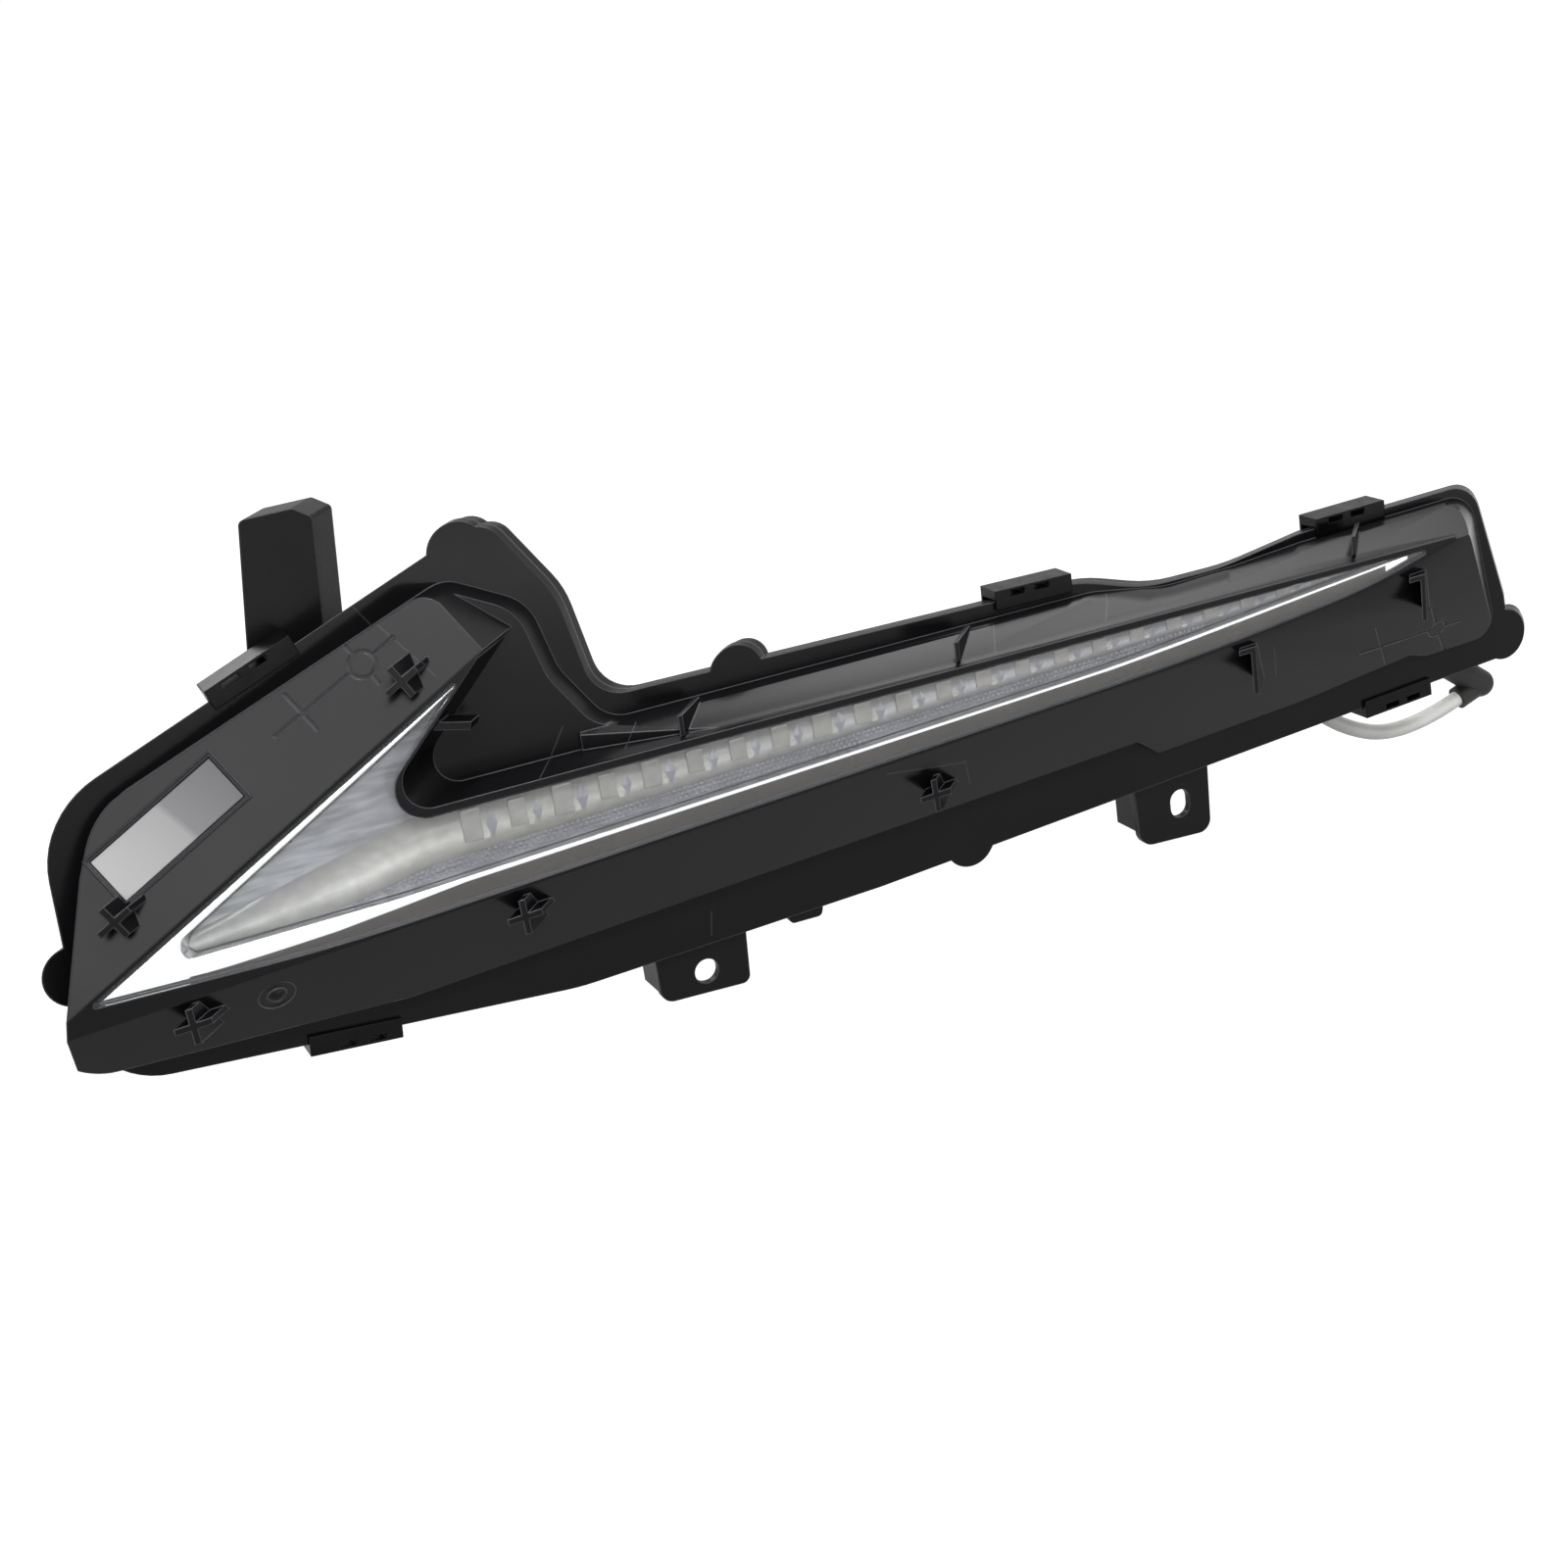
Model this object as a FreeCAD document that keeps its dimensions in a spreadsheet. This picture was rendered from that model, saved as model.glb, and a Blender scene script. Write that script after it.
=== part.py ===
import FreeCAD, Part
import math
import os
from FreeCAD import Placement, Rotation, Vector

doc = FreeCAD.newDocument("DrivingLight")

# Driving dimensions in millimetres. The origin is the inner tab's bolt hole on the seating plane of both tabs:
# X runs along the lamp, the lens looks along -Y, Z is up.
sizes = {
    "draw_lean": "0.9",
    "flange_thick": "3",
    "bead_thick": "2",
    "cover_flange": "3",
    "bead_inset": "3",
    "bead_width": "3.5",
    "ridge_ahead": "14",
    "lens_ahead": "32",
    "wall": "2.5",
    "frame_wall": "1.2",
    "lens_thick": "2",
    "ledge_thick": "0.8",
    "ledge_width": "0.6",
    "fit_gap": "0.3",
    "bezel_depth": "8.2",
    "inner_lens_thick": "4",
    "reflector_depth": "11",
    "board_thick": "1.6",
    "led_size": "3.5",
    "led_tall": "0.8",
    "sink_thick": "3",
    "shallow_depth": "24",
    "deep_depth": "34",
    "flange_inset": "1.2",
    "lobe_radius": "10",
    "tab_hole": "9",
    "tab_slot_wide": "8.4",
    "tab_slot_tall": "11",
    "tab_gusset": "12",
    "arm_behind": "4",
    "arm_depth": "10",
    "arm_wall": "2.2",
    "post_long": "7",
    "post_span": "12",
    "post_web": "2.2",
    "fin_thick": "1.8",
    "fin_tall": "7",
    "groove_wide": "1.2",
    "groove_deep": "0.5",
    "panel_long": "47",
    "panel_tall": "16",
    "panel_thick": "1.2",
    "dome_radius": "3.6",
    "clip_long": "31",
    "clip_wall": "1.5",
    "clip_leg": "3.2",
    "clip_web": "3.8",
    "clip_slot": "6",
    "screw_dia": "4",
    "screw_head": "8",
    "screw_head_tall": "2.6",
    "screw_post": "9",
    "driver_long": "70",
    "driver_tall": "40",
    "driver_deep": "18",
    "driver_fin": "5",
    "driver_corner": "4",
    "column_inset": "6",
    "gasket_thick": "1.5",
    "small_screw": "3",
    "cable_dia": "6.2",
    "boot_radius": "5.6",
    "breather_radius": "10",
}
sheet = doc.addObject("Spreadsheet::Sheet", "Sizes")
for row, alias in enumerate(sizes, 1):
    sheet.set("A%d" % row, alias)
    sheet.set("B%d" % row, sizes[alias])
    sheet.setAlias("B%d" % row, alias)

# Levels along Y worked out from the stack of layers
levels = {
    "draw_scale": "=sqrt(1 + draw_lean * draw_lean)",
    "bead_back": "=-flange_thick",
    "bead_front": "=bead_back - bead_thick",
    "cover_front": "=bead_front - cover_flange",
    "ridge_front": "=-ridge_ahead",
    "pocket_floor": "=ridge_front - 1",
    "lens_front": "=-lens_ahead",
    "lens_back": "=lens_front + lens_thick",
    "bezel_front": "=lens_back + ledge_thick",
    "bezel_back": "=bezel_front + bezel_depth",
    "inner_lens_front": "=bezel_back - inner_lens_thick",
    "board_front": "=bezel_back + reflector_depth",
    "led_front": "=board_front - led_tall",
    "board_back": "=board_front + board_thick",
    "sink_back": "=board_back + sink_thick",
    "far_front": "=lens_front - 30",
    "far_back": "=deep_depth + 30",
}
for row, alias in enumerate(levels, 1):
    sheet.set("D%d" % row, alias)
    sheet.set("E%d" % row, levels[alias])
    sheet.setAlias("E%d" % row, alias)
doc.recompute()


def size(alias):
    return float(sheet.get(alias))


# A point of a layer, given where the draw direction carries it to the seating plane
def drawn(x, y, z):
    return Vector(x + size("draw_lean") * y, y, z)


# Lines and corner arcs of one closed outline; each corner is (x, z, rounding radius)
def loop(corners):
    ends = []
    for i, (x, z, radius) in enumerate(corners):
        here = Vector(x, z, 0)
        before = Vector(corners[i - 1][0], corners[i - 1][1], 0) - here
        after = Vector(corners[(i + 1) % len(corners)][0], corners[(i + 1) % len(corners)][1], 0) - here
        before.normalize()
        after.normalize()
        if radius == 0:
            ends.append((here, None, here))
            continue
        half = before.getAngle(after) / 2
        reach = radius / math.tan(half)
        bisector = before + after
        bisector.normalize()
        middle = here + bisector * (radius / math.sin(half) - radius)
        ends.append((here + before * reach, middle, here + after * reach))
    edges = []
    for i, (start, middle, end) in enumerate(ends):
        if middle is not None:
            edges.append(Part.Arc(start, middle, end))
        edges.append(Part.LineSegment(end, ends[(i + 1) % len(ends)][0]))
    return edges


# Sketch on the seating plane, seen from the front
def sketch(name, loops):
    made = doc.addObject("Sketcher::SketchObject", name)
    made.Placement = Placement(Vector(0, 0, 0), Rotation(Vector(1, 0, 0), 90))
    for edges in loops:
        made.addGeometry(edges, False)
    return made


def offset(name, source, expression):
    made = doc.addObject("Part::Offset2D", name)
    made.Source = source
    made.Join = "Arc"
    made.setExpression("Value", expression)
    return made


# Solid layer of an outline along the draw direction, between two levels
def layer(name, outline, front, back):
    made = doc.addObject("Part::Extrusion", name)
    made.Base = outline
    made.DirMode = "Custom"
    made.Dir = Vector(size("draw_lean"), 1, 0)
    made.setExpression("Dir.x", "Sizes.draw_lean")
    made.setExpression("LengthFwd", "(%s) * Sizes.draw_scale" % back)
    made.setExpression("LengthRev", "-(%s) * Sizes.draw_scale" % front)
    made.Solid = True
    return made


# Solid of an outline straight along Y, for what bolts or clips square to the seating plane
def plate(name, outline, front, back):
    made = layer(name, outline, front, back)
    made.setExpression("Dir.x", None)
    made.Dir = Vector(0, 1, 0)
    made.setExpression("LengthFwd", back)
    made.setExpression("LengthRev", "-(%s)" % front)
    return made


def fuse(name, shapes):
    made = doc.addObject("Part::MultiFuse", name)
    made.Shapes = shapes
    return made


def common(name, shapes):
    made = doc.addObject("Part::MultiCommon", name)
    made.Shapes = shapes
    return made


def cut(name, base, tools):
    made = doc.addObject("Part::Cut", name)
    made.Base = base
    made.Tool = tools[0] if len(tools) == 1 else fuse(name + "Tools", tools)
    return made


def group(name, shapes):
    made = doc.addObject("Part::Compound", name)
    made.Links = shapes
    return made


def box(name, corner, length, width, height):
    made = doc.addObject("Part::Box", name)
    made.Placement.Base = corner
    for side, value in (("Length", length), ("Width", width), ("Height", height)):
        made.setExpression(side, str(value))
    return made


# Cylinder from a point along a direction
def rod(name, start, direction, radius, height):
    made = doc.addObject("Part::Cylinder", name)
    made.Placement = Placement(start, Rotation(Vector(0, 0, 1), direction))
    made.setExpression("Radius", str(radius))
    made.setExpression("Height", str(height))
    return made


def ball(name, centre, radius):
    made = doc.addObject("Part::Sphere", name)
    made.Placement.Base = centre
    made.setExpression("Radius", str(radius))
    return made


# Frame on a sloping face through three points: origin at the first, Z out of the front
def face_frame(first, second, third):
    out = (second - first).cross(third - first)
    out.normalize()
    if out.dot(drawn(0, 1, 0)) > 0:
        out = out * -1
    along = second - first
    along.normalize()
    up = out.cross(along)
    return Placement(first, Rotation(along, up, out, "ZXY"))


# Everything ahead of a sloping face, moved back into the part by a setback
def ahead_of(name, frame, setback):
    made = doc.addObject("Part::Box", name)
    made.Length = 2400
    made.Width = 2400
    made.Height = 200
    made.Placement = frame.multiply(Placement(Vector(-1200, -1200, -setback), Rotation()))
    return made


# Corner points of the flange and of the lens frame that more than one feature takes its place from
flange_low = [(-201.5, 27.5), (-40, 11), (75, 13), (357, 27.5)]
flange_high = [(341.5, 99.8), (262, 98.8), (166, 103.5), (-17, 108.3), (-44, 176), (-197.5, 118.5)]
frame_left = (-182.5, 62.4)
frame_low = [(-100, 58.9), (215, 70.9), (300, 78.8)]
frame_right = (340.5, 89.6)
frame_top = (-36.5, 141.2)


def rounded(corner, radius):
    return corner + (radius,)


# Outlines, clockwise from the inner lower corner
flange_outline = sketch("FlangeOutline", [loop([
    rounded(flange_low[0], 26), rounded(flange_low[1], 90), rounded(flange_low[2], 90), rounded(flange_low[3], 8),
    (354.5, 52, 12), rounded(flange_high[0], 14), rounded(flange_high[1], 80), (226, 94, 100), (194, 94.5, 60),
    rounded(flange_high[2], 60), rounded(flange_high[3], 14), (-24.5, 146, 34), rounded(flange_high[4], 10),
    rounded(flange_high[5], 32)])])
ridge_outline = sketch("RidgeOutline", [loop([
    (-194.5, 38, 11), (-93, 28.7, 40), (187, 40.5, 2), (194, 31.5, 2), (258, 35, 30), (309, 41, 2),
    (317, 38, 2), (350, 38, 9), (340.5, 96.5, 13), (262, 95.3, 60), (232, 93.4, 60), (202, 93, 40), (172, 98.3, 40),
    (-14, 100.5, 14), (-28, 122, 20), (-34, 146, 18), (-60, 160, 12), (-178, 116.5, 18)])])
frame_outline = sketch("FrameOutline", [loop([
    rounded(frame_left, 0.8), rounded(frame_low[0], 600), rounded(frame_low[1], 1200), rounded(frame_low[2], 400),
    rounded(frame_right, 0.8), (-82.5, 96.2, 9), rounded(frame_top, 0.6)])])
lens_outline = sketch("LensOutline", [loop([
    (-177.9, 63.5, 0.9), (-100, 60.2, 600), (215, 72.2, 1200), (298, 79.9, 250), (326.9, 87.6, 0.9),
    (-87, 93.4, 10), (-43, 136.2, 0.9)])])
opening_outline = sketch("OpeningOutline", [loop([
    (-149.5, 69.3, 3), (-80, 68.9, 300), (185, 77.2, 900), (312, 87.2, 0), (316, 78, 0), (360, 78, 0), (360, 150, 0),
    (-30, 150, 0), (-30, 141.4, 0), (-148.3, 75.8, 3)])])
lobe_places = [(-198, 66), (-54, 167), (33, 104), (112, 20), (354, 36)]


# A point of the lens frame, and one of the ridge, on the sloping faces between them
def at_lens(point):
    return drawn(point[0], size("lens_front"), point[1])


def at_ridge(x, z):
    return drawn(x, size("ridge_front"), z)


# Sloping faces of the cover; the band below the lens turns up in three facets towards the outer end
slopes = {
    "Panel": face_frame(at_lens(frame_left), at_lens(frame_top), at_ridge(-145, 128.5)),
    "Band": face_frame(at_lens(frame_low[0]), at_lens(frame_low[1]), at_ridge(50, 33.5)),
    "BandMiddle": face_frame(at_lens(frame_low[1]), at_lens(frame_low[2]), at_ridge(300, 43)),
    "BandEnd": face_frame(at_lens(frame_low[2]), at_lens(frame_right), at_ridge(340, 42)),
    "Nose": face_frame(at_ridge(-194, 45), at_ridge(-182, 104), at_lens((-184, 62))),
    "Shelf": face_frame(drawn(-58, size("lens_front") + 5, 96), drawn(336, size("lens_front") + 5, 91),
                        drawn(100, size("pocket_floor"), 99.5)),
    "Ramp": face_frame(drawn(-25, size("pocket_floor"), 90), drawn(-25, size("pocket_floor"), 110),
                       drawn(30, size("lens_front") + 5, 95)),
    "Floor": face_frame(drawn(0, size("pocket_floor"), 100), drawn(100, size("pocket_floor"), 100),
                        drawn(0, size("pocket_floor"), 150)),
}


# Level along Y at which the draw direction through a point meets a sloping face
def face_level(face, x, z):
    out = slopes[face].Rotation.multVec(Vector(0, 0, 1))
    gap = slopes[face].Base - drawn(x, 0, z)
    return out.dot(gap) / out.dot(drawn(0, 1, 0))


def slope_between(first, second):
    return (second[1] - first[1]) / (second[0] - first[0])


pocket_outline = sketch("PocketOutline", [loop([
    rounded(frame_top, 0), (-75, 114, 0), (-92, 84, 0), (-20, 80, 0), (-20, 200, 0), (-66, 200, 0), (-66, 168, 0)])])
shelf_outline = sketch("ShelfOutline", [loop([
    (-22, 80, 0), (300, 87, 0), (420, 92, 0), (420, 200, 0), (-22, 200, 0)])])


# Outer form of the cover ahead of its flange, or the hollow under it when set in by the wall
def front_form(name, inset):
    hollow = inset > 0
    ridge = offset(name + "Ridge", ridge_outline, "-Sizes.wall") if hollow else ridge_outline
    front = "Sizes.bezel_front" if hollow else "Sizes.lens_front"
    back = "0" if hollow else "Sizes.bead_front"
    solid = layer(name + "Block", ridge, front, back)
    sloped = cut(name + "Sloped", solid, [ahead_of(name + face, slopes[face], inset)
                                          for face in ("Panel", "Band", "BandMiddle", "BandEnd", "Nose")])
    island_edge = offset(name + "Rim", frame_outline, "-Sizes.frame_wall") if hollow else frame_outline
    island = layer(name + "Island", island_edge, "Sizes.far_front", "Sizes.far_back")
    pocket_edge = offset(name + "PocketEdge", pocket_outline, "Sizes.wall") if hollow else pocket_outline
    shelf_edge = offset(name + "ShelfEdge", shelf_outline, "Sizes.wall") if hollow else shelf_outline
    floor = ahead_of(name + "Floor", slopes["Floor"], inset)
    pocket = common(name + "Pocket", [layer(name + "PocketDeep", pocket_edge, "Sizes.far_front", "0"), floor])
    shelf = common(name + "Shelf", [
        layer(name + "ShelfDeep", shelf_edge, "Sizes.far_front", "0"),
        ahead_of(name + "FloorShelf", slopes["Floor"], inset),
        fuse(name + "ShelfAhead", [ahead_of(name + "ShelfFace", slopes["Shelf"], inset),
                                   ahead_of(name + "RampFace", slopes["Ramp"], inset)]),
    ])
    sunk = cut(name + "Sunk", fuse(name + "SunkBlock", [pocket, shelf]), [island])
    return cut(name, sloped, [sunk])


cover_form = front_form("CoverForm", 0)
cover_hollow = front_form("CoverHollow", size("wall"))


# A plus-shaped outline about a point, turned to lie along a slope of the outline
def cross(x, z, span, web, slope):
    far = span / 2
    near = web / 2
    steps = [(-far, -near), (-near, -near), (-near, -far), (near, -far), (near, -near), (far, -near),
             (far, near), (near, near), (near, far), (-near, far), (-near, near), (-far, near)]
    turn = Rotation(Vector(0, 0, 1), math.degrees(math.atan(slope)))
    turned = [turn.multVec(Vector(right, up, 0)) for right, up in steps]
    return loop([(x + step.x, z + step.y, 0) for step in turned])


def rectangle(x, z, wide, tall, rounding=0):
    return loop([(x - wide / 2, z - tall / 2, rounding), (x + wide / 2, z - tall / 2, rounding),
                 (x + wide / 2, z + tall / 2, rounding), (x - wide / 2, z + tall / 2, rounding)])


def circle(x, z, radius):
    return [Part.Circle(Vector(x, z, 0), Vector(0, 0, 1), radius)]


# Front cover: flange with lobes, sloping form, locating posts, shelf fins and a dome button
lobe_outline = sketch("LobeOutline", [circle(x, z, size("lobe_radius")) for x, z in lobe_places])
cover_flange = layer("CoverFlange", flange_outline, "Sizes.cover_front", "Sizes.bead_front")
cover_lobes = layer("CoverLobes", lobe_outline, "Sizes.cover_front", "Sizes.bead_front")
post_places = [("Panel", -162.8, 88.5), ("Panel", -62, 138.7), ("Band", -38.2, 52.2), ("Band", 109.6, 49.1),
               ("Band", -146.3, 49.6)]
post_slopes = {"Panel": slope_between(frame_left, frame_top), "Band": slope_between(frame_low[0], frame_low[1])}
rib_places = [("Band", 242.6, 61.5), ("BandMiddle", 318.6, 70.5)]
raised = [cover_flange, cover_lobes, cover_form]
for i, (face, x, z) in enumerate(post_places):
    level = face_level(face, x, z)
    plus = sketch("PostOutline%d" % i, [
        cross(x, z, size("post_span"), size("post_web"), post_slopes[face])])
    raised.append(layer("Post%d" % i, plus, "%f - Sizes.post_long" % level, "%f + 4" % level))
for i, (face, x, z) in enumerate(rib_places):
    level = face_level(face, x, z)
    channel = sketch("RibOutline%d" % i, [loop([
        (x, z - 9, 0), (x + size("post_web"), z - 9, 0), (x + size("post_web"), z + 9, 0),
        (x - 5, z + 9, 0), (x - 5, z + 7, 0), (x, z + 7, 0)])])
    raised.append(layer("Rib%d" % i, channel, "%f - Sizes.post_long" % level, "%f + 6" % level))
fin_outline = sketch("FinOutline", [rectangle(x, z, size("fin_thick"), size("fin_tall"))
                                    for x, z in ((21.5, 98.5), (124, 97.3), (289, 95.5))])
raised.append(layer("ShelfFins", fin_outline, "Sizes.lens_front + 4", "Sizes.pocket_floor"))
peg_outline = sketch("PegOutline", [loop([(-64, 120, 0), (-48, 116, 0), (-47, 118.5, 0), (-63, 122.5, 0)])])
raised.append(layer("WallPeg", peg_outline, "Sizes.lens_front + 4", "Sizes.lens_front + 9"))
dome_place = (-21, -11.7)
dome_frame = slopes["Band"].multiply(Placement(Vector(dome_place[0], dome_place[1], -2), Rotation()))
raised.append(ball("Dome", dome_frame.Base, "Sizes.dome_radius"))


# Groove cut into a sloping face, straight between two points of that face
def groove(name, face, first, second):
    run = Vector(second[0] - first[0], second[1] - first[1], 0)
    turn = Rotation(Vector(1, 0, 0), run)
    made = doc.addObject("Part::Box", name)
    made.Length = run.Length
    made.setExpression("Width", "Sizes.groove_wide")
    made.setExpression("Height", "Sizes.groove_deep + 5")
    side = turn.multVec(Vector(0, -size("groove_wide") / 2, 0))
    start = Vector(first[0], first[1], -size("groove_deep")) + side
    made.Placement = slopes[face].multiply(Placement(start, turn))
    return made


# Ring groove, or a round recess when the inner radius is 0
def ring_groove(name, face, x, y, outer, inner):
    foot = slopes[face].multiply(Placement(Vector(x, y, -size("groove_deep")), Rotation()))
    out = foot.Rotation.multVec(Vector(0, 0, 1))
    disc = rod(name + "Disc", foot.Base, out, outer, 5)
    return cut(name, disc, [rod(name + "Core", foot.Base, out, inner, 5)])


# Aiming marks: a plus and a ring with ticks on the panel and again at the outer end of the band
aim_marks = [
    ("Panel", (101, 22.7), (131.2, 21.9)), ("Panel", (112.2, 15.2), (112.2, 30.7)),
    ("Panel", (140.2, 21.4), (148.7, 21.4)), ("Panel", (135.7, 25.9), (135.7, 29.4)),
    ("Panel", (135.7, 13.4), (135.7, 16.9)), ("BandMiddle", (82.5, -32), (116, -35)),
    ("BandMiddle", (88.2, -21.1), (97.8, -45)), ("BandMiddle", (114.7, -22.9), (118.2, -31.8)),
    ("BandMiddle", (123.5, -36), (131.3, -36.6)), ("BandMiddle", (121.4, -39.2), (126.5, -50)),
]
sunken = [groove("AimMark%d" % i, *mark) for i, mark in enumerate(aim_marks)]
sunken.append(ring_groove("AimRingInner", "Panel", 135.7, 21.4, 4.8, 3.6))
sunken.append(ring_groove("AimRingOuter", "BandMiddle", 119.8, -35.6, 4.2, 3.1))
sunken.append(ring_groove("DomeMoat", "Band", dome_place[0], dome_place[1], 6, 3.2))

# Bare marking panel let into the sloping face
panel_foot = slopes["Panel"].multiply(Placement(Vector(58.8, 23.3, -size("panel_thick")), Rotation()))


def panel_plate(name, grow, tall):
    made = doc.addObject("Part::Box", name)
    made.setExpression("Length", "Sizes.panel_long + 2 * (%s)" % grow)
    made.setExpression("Width", "Sizes.panel_tall + 2 * (%s)" % grow)
    made.setExpression("Height", tall)
    margin = size("fit_gap") if grow != "0" else 0
    corner = Vector(-size("panel_long") / 2 - margin, -size("panel_tall") / 2 - margin, 0)
    made.Placement = panel_foot.multiply(Placement(corner, Rotation()))
    return made


sunken.append(panel_plate("PanelSeat", "Sizes.fit_gap", "10"))
marking_panel = panel_plate("MarkingPanel", "0", "Sizes.panel_thick")

# Lens window with a ledge behind it
sunken.append(layer("LensWindow", lens_outline, "Sizes.far_front", "Sizes.lens_back"))
ledge_outline = offset("LedgeOutline", lens_outline, "-Sizes.ledge_width")
sunken.append(layer("LedgeWindow", ledge_outline, "Sizes.far_front", "Sizes.bezel_back"))
sunken.append(cover_hollow)
front_cover = cut("FrontCover", fuse("CoverRaised", raised), sunken)
lens_edge = offset("LensEdge", lens_outline, "-Sizes.fit_gap / 2")
outer_lens = layer("OuterLens", lens_edge, "Sizes.lens_front", "Sizes.lens_back")

# Light unit behind the lens: bezel, inner lens, reflector, board with its LEDs and heat sink
core_outline = offset("CoreOutline", frame_outline, "-Sizes.frame_wall - Sizes.fit_gap - 0.2")
bezel_opening = layer("BezelOpening", opening_outline, "Sizes.far_front", "Sizes.bezel_back")
chrome_bezel = cut("ChromeBezel", layer("BezelBlock", core_outline, "Sizes.bezel_front", "Sizes.bezel_back"),
                   [bezel_opening])
inner_edge = offset("InnerEdge", opening_outline, "-Sizes.fit_gap")
inner_lens = common("InnerLens", [
    layer("InnerLensWindow", inner_edge, "Sizes.far_front", "Sizes.far_back"),
    layer("InnerLensBlock", core_outline, "Sizes.inner_lens_front", "Sizes.bezel_back")])
cell_count = 22
cell_pitch = 15.5
cells = []
for i in range(cell_count):
    x = -52 + i * cell_pitch
    low = 77.5 + x * 0.022
    high = 91.8 - x * 0.0135
    cells.append((x, (low + high) / 2, 10.5, high - low - 1.5))
for x, z in ((-128, 77), (-113.5, 86), (-99, 95.5), (-86, 104.5), (-74.5, 112.8)):
    cells.append((x, z, 5.4, 5.4))
cell_outline = sketch("CellOutline", [rectangle(*cell) for cell in cells])
cell_holes = layer("CellHoles", cell_outline, "Sizes.bezel_back - 1", "Sizes.board_front + 1")
reflector_block = layer("ReflectorBlock", core_outline, "Sizes.bezel_back", "Sizes.board_front")
led_reflector = cut("LedReflector", reflector_block, [cell_holes])
led_outline = sketch("LedOutline", [rectangle(x, z, size("led_size"), min(size("led_size"), tall - 0.6))
                                    for x, z, wide, tall in cells])
leds = layer("Leds", led_outline, "Sizes.led_front", "Sizes.board_front")
led_board = layer("LedBoard", core_outline, "Sizes.board_front", "Sizes.board_back")
screw_places = [(-120, 78, "deep"), (-80, 113, "deep"), (20, 77, "deep"), (120, 76, "shallow"),
                (205, 77, "shallow")]
sink_holes = []
for i, (x, z, depth) in enumerate(screw_places):
    sink_holes.append(rod("SinkHole%d" % i, Vector(x, size("sink_back") - size("sink_thick") / 2, z),
                          Vector(0, 1, 0), "Sizes.screw_dia / 2 + Sizes.fit_gap", "Sizes.sink_thick"))
sink_block = layer("SinkBlock", core_outline, "Sizes.board_back", "Sizes.sink_back")
heat_sink = cut("HeatSink", sink_block, sink_holes)

# Sealing bead between the two flanges
bead_outer = offset("BeadOuter", flange_outline, "-Sizes.bead_inset")
bead_inner = offset("BeadInner", flange_outline, "-Sizes.bead_inset - Sizes.bead_width")
bead_hole = layer("BeadHole", bead_inner, "Sizes.far_front", "0")
seal_bead = cut("SealBead", layer("BeadBlock", bead_outer, "Sizes.bead_front", "Sizes.bead_back"), [bead_hole])

# Rear housing: flange with lobes, a shallow bowl along the arm, a deeper one behind the panel, the upright
# bracket arm and two mounting tabs
boot_wall = 40
deep_outline = sketch("DeepOutline", [loop([
    (-180, 46, 10), (-90, 38, 20), (46, 43, 8), (50, 84, 8), (-34, 86, 12), (-56, 112, 14), (-72, 136, 12),
    (-170, 104, 20)])])
bowl_outline = sketch("BowlOutline", [loop([
    (-191, 41, 10), (-93, 32, 40), (120, 39.5, 60), (258, boot_wall, 30), (340, boot_wall, 8), (333, 80, 10),
    (236, 82, 20), (196, 82, 40), (150, 90, 40), (-30, 93, 12), (-44, 112, 14), (-66, 138, 12), (-175, 110, 18)])])
bowl_inside = offset("BowlInside", bowl_outline, "-Sizes.wall")
deep_inside = offset("DeepInside", deep_outline, "-Sizes.wall")
arm_head = [(-104.8, 186, 2), (-110.5, 190, 2), (-127.5, 190, 2)]
arm_outline = sketch("ArmOutline", [loop([(-139, 112, 0), (-111.5, 121, 0)] + arm_head)])
arm_inside = offset("ArmInside", sketch("ArmPocketOutline", [loop([(-134, 146, 0), (-108.5, 153, 0)] + arm_head)]),
                    "-Sizes.arm_wall")
housing_edge = offset("HousingEdge", flange_outline, "-Sizes.flange_inset")
housing_lobes = sketch("HousingLobeOutline", [circle(x, z, size("lobe_radius") - size("flange_inset"))
                                              for x, z in lobe_places])
tab_outline = sketch("TabOutline", [loop([(-18, 16, 0), (-18, -7, 5), (15.5, -9, 3), (17, 16, 0)]),
                                    loop([(177, 24, 0), (178, -6, 6), (209, -8, 5), (210, 24, 0)]),
                                    loop([(32, 15, 0), (34, 7.4, 2), (46, 7, 2), (48, 15, 0)])])
gusset_places = [(-18, -3), (177.6, 0)]
bulk = [layer("HousingFlange", housing_edge, "Sizes.bead_back", "0"),
        layer("HousingLobes", housing_lobes, "Sizes.bead_back", "0"),
        layer("ShallowBowl", bowl_outline, "Sizes.bead_back", "Sizes.shallow_depth"),
        layer("DeepBowl", deep_outline, "Sizes.bead_back", "Sizes.deep_depth"),
        layer("BracketArm", arm_outline, "Sizes.arm_behind", "Sizes.arm_behind + Sizes.arm_depth"),
        plate("Tabs", tab_outline, "Sizes.bead_back", "0")]
for i, (x, z) in enumerate(gusset_places):
    bulk.append(box("TabGusset%d" % i, Vector(x, -1, z), "Sizes.flange_thick", "Sizes.tab_gusset + 1", 22))
hollows = [layer("ShallowHollow", bowl_inside, "Sizes.far_front", "Sizes.shallow_depth - Sizes.wall"),
           layer("DeepHollow", deep_inside, "Sizes.far_front", "Sizes.deep_depth - Sizes.wall"),
           layer("ArmHollow", arm_inside, "Sizes.arm_behind + Sizes.arm_wall", "Sizes.far_back")]
slot_outline = sketch("SlotOutline", [loop([
    (196.5 + side * size("tab_slot_wide") / 2, 6.5 + up * size("tab_slot_tall") / 2,
     size("tab_slot_wide") / 2 - 0.01) for side, up in ((-1, -1), (1, -1), (1, 1), (-1, 1))])])
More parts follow.
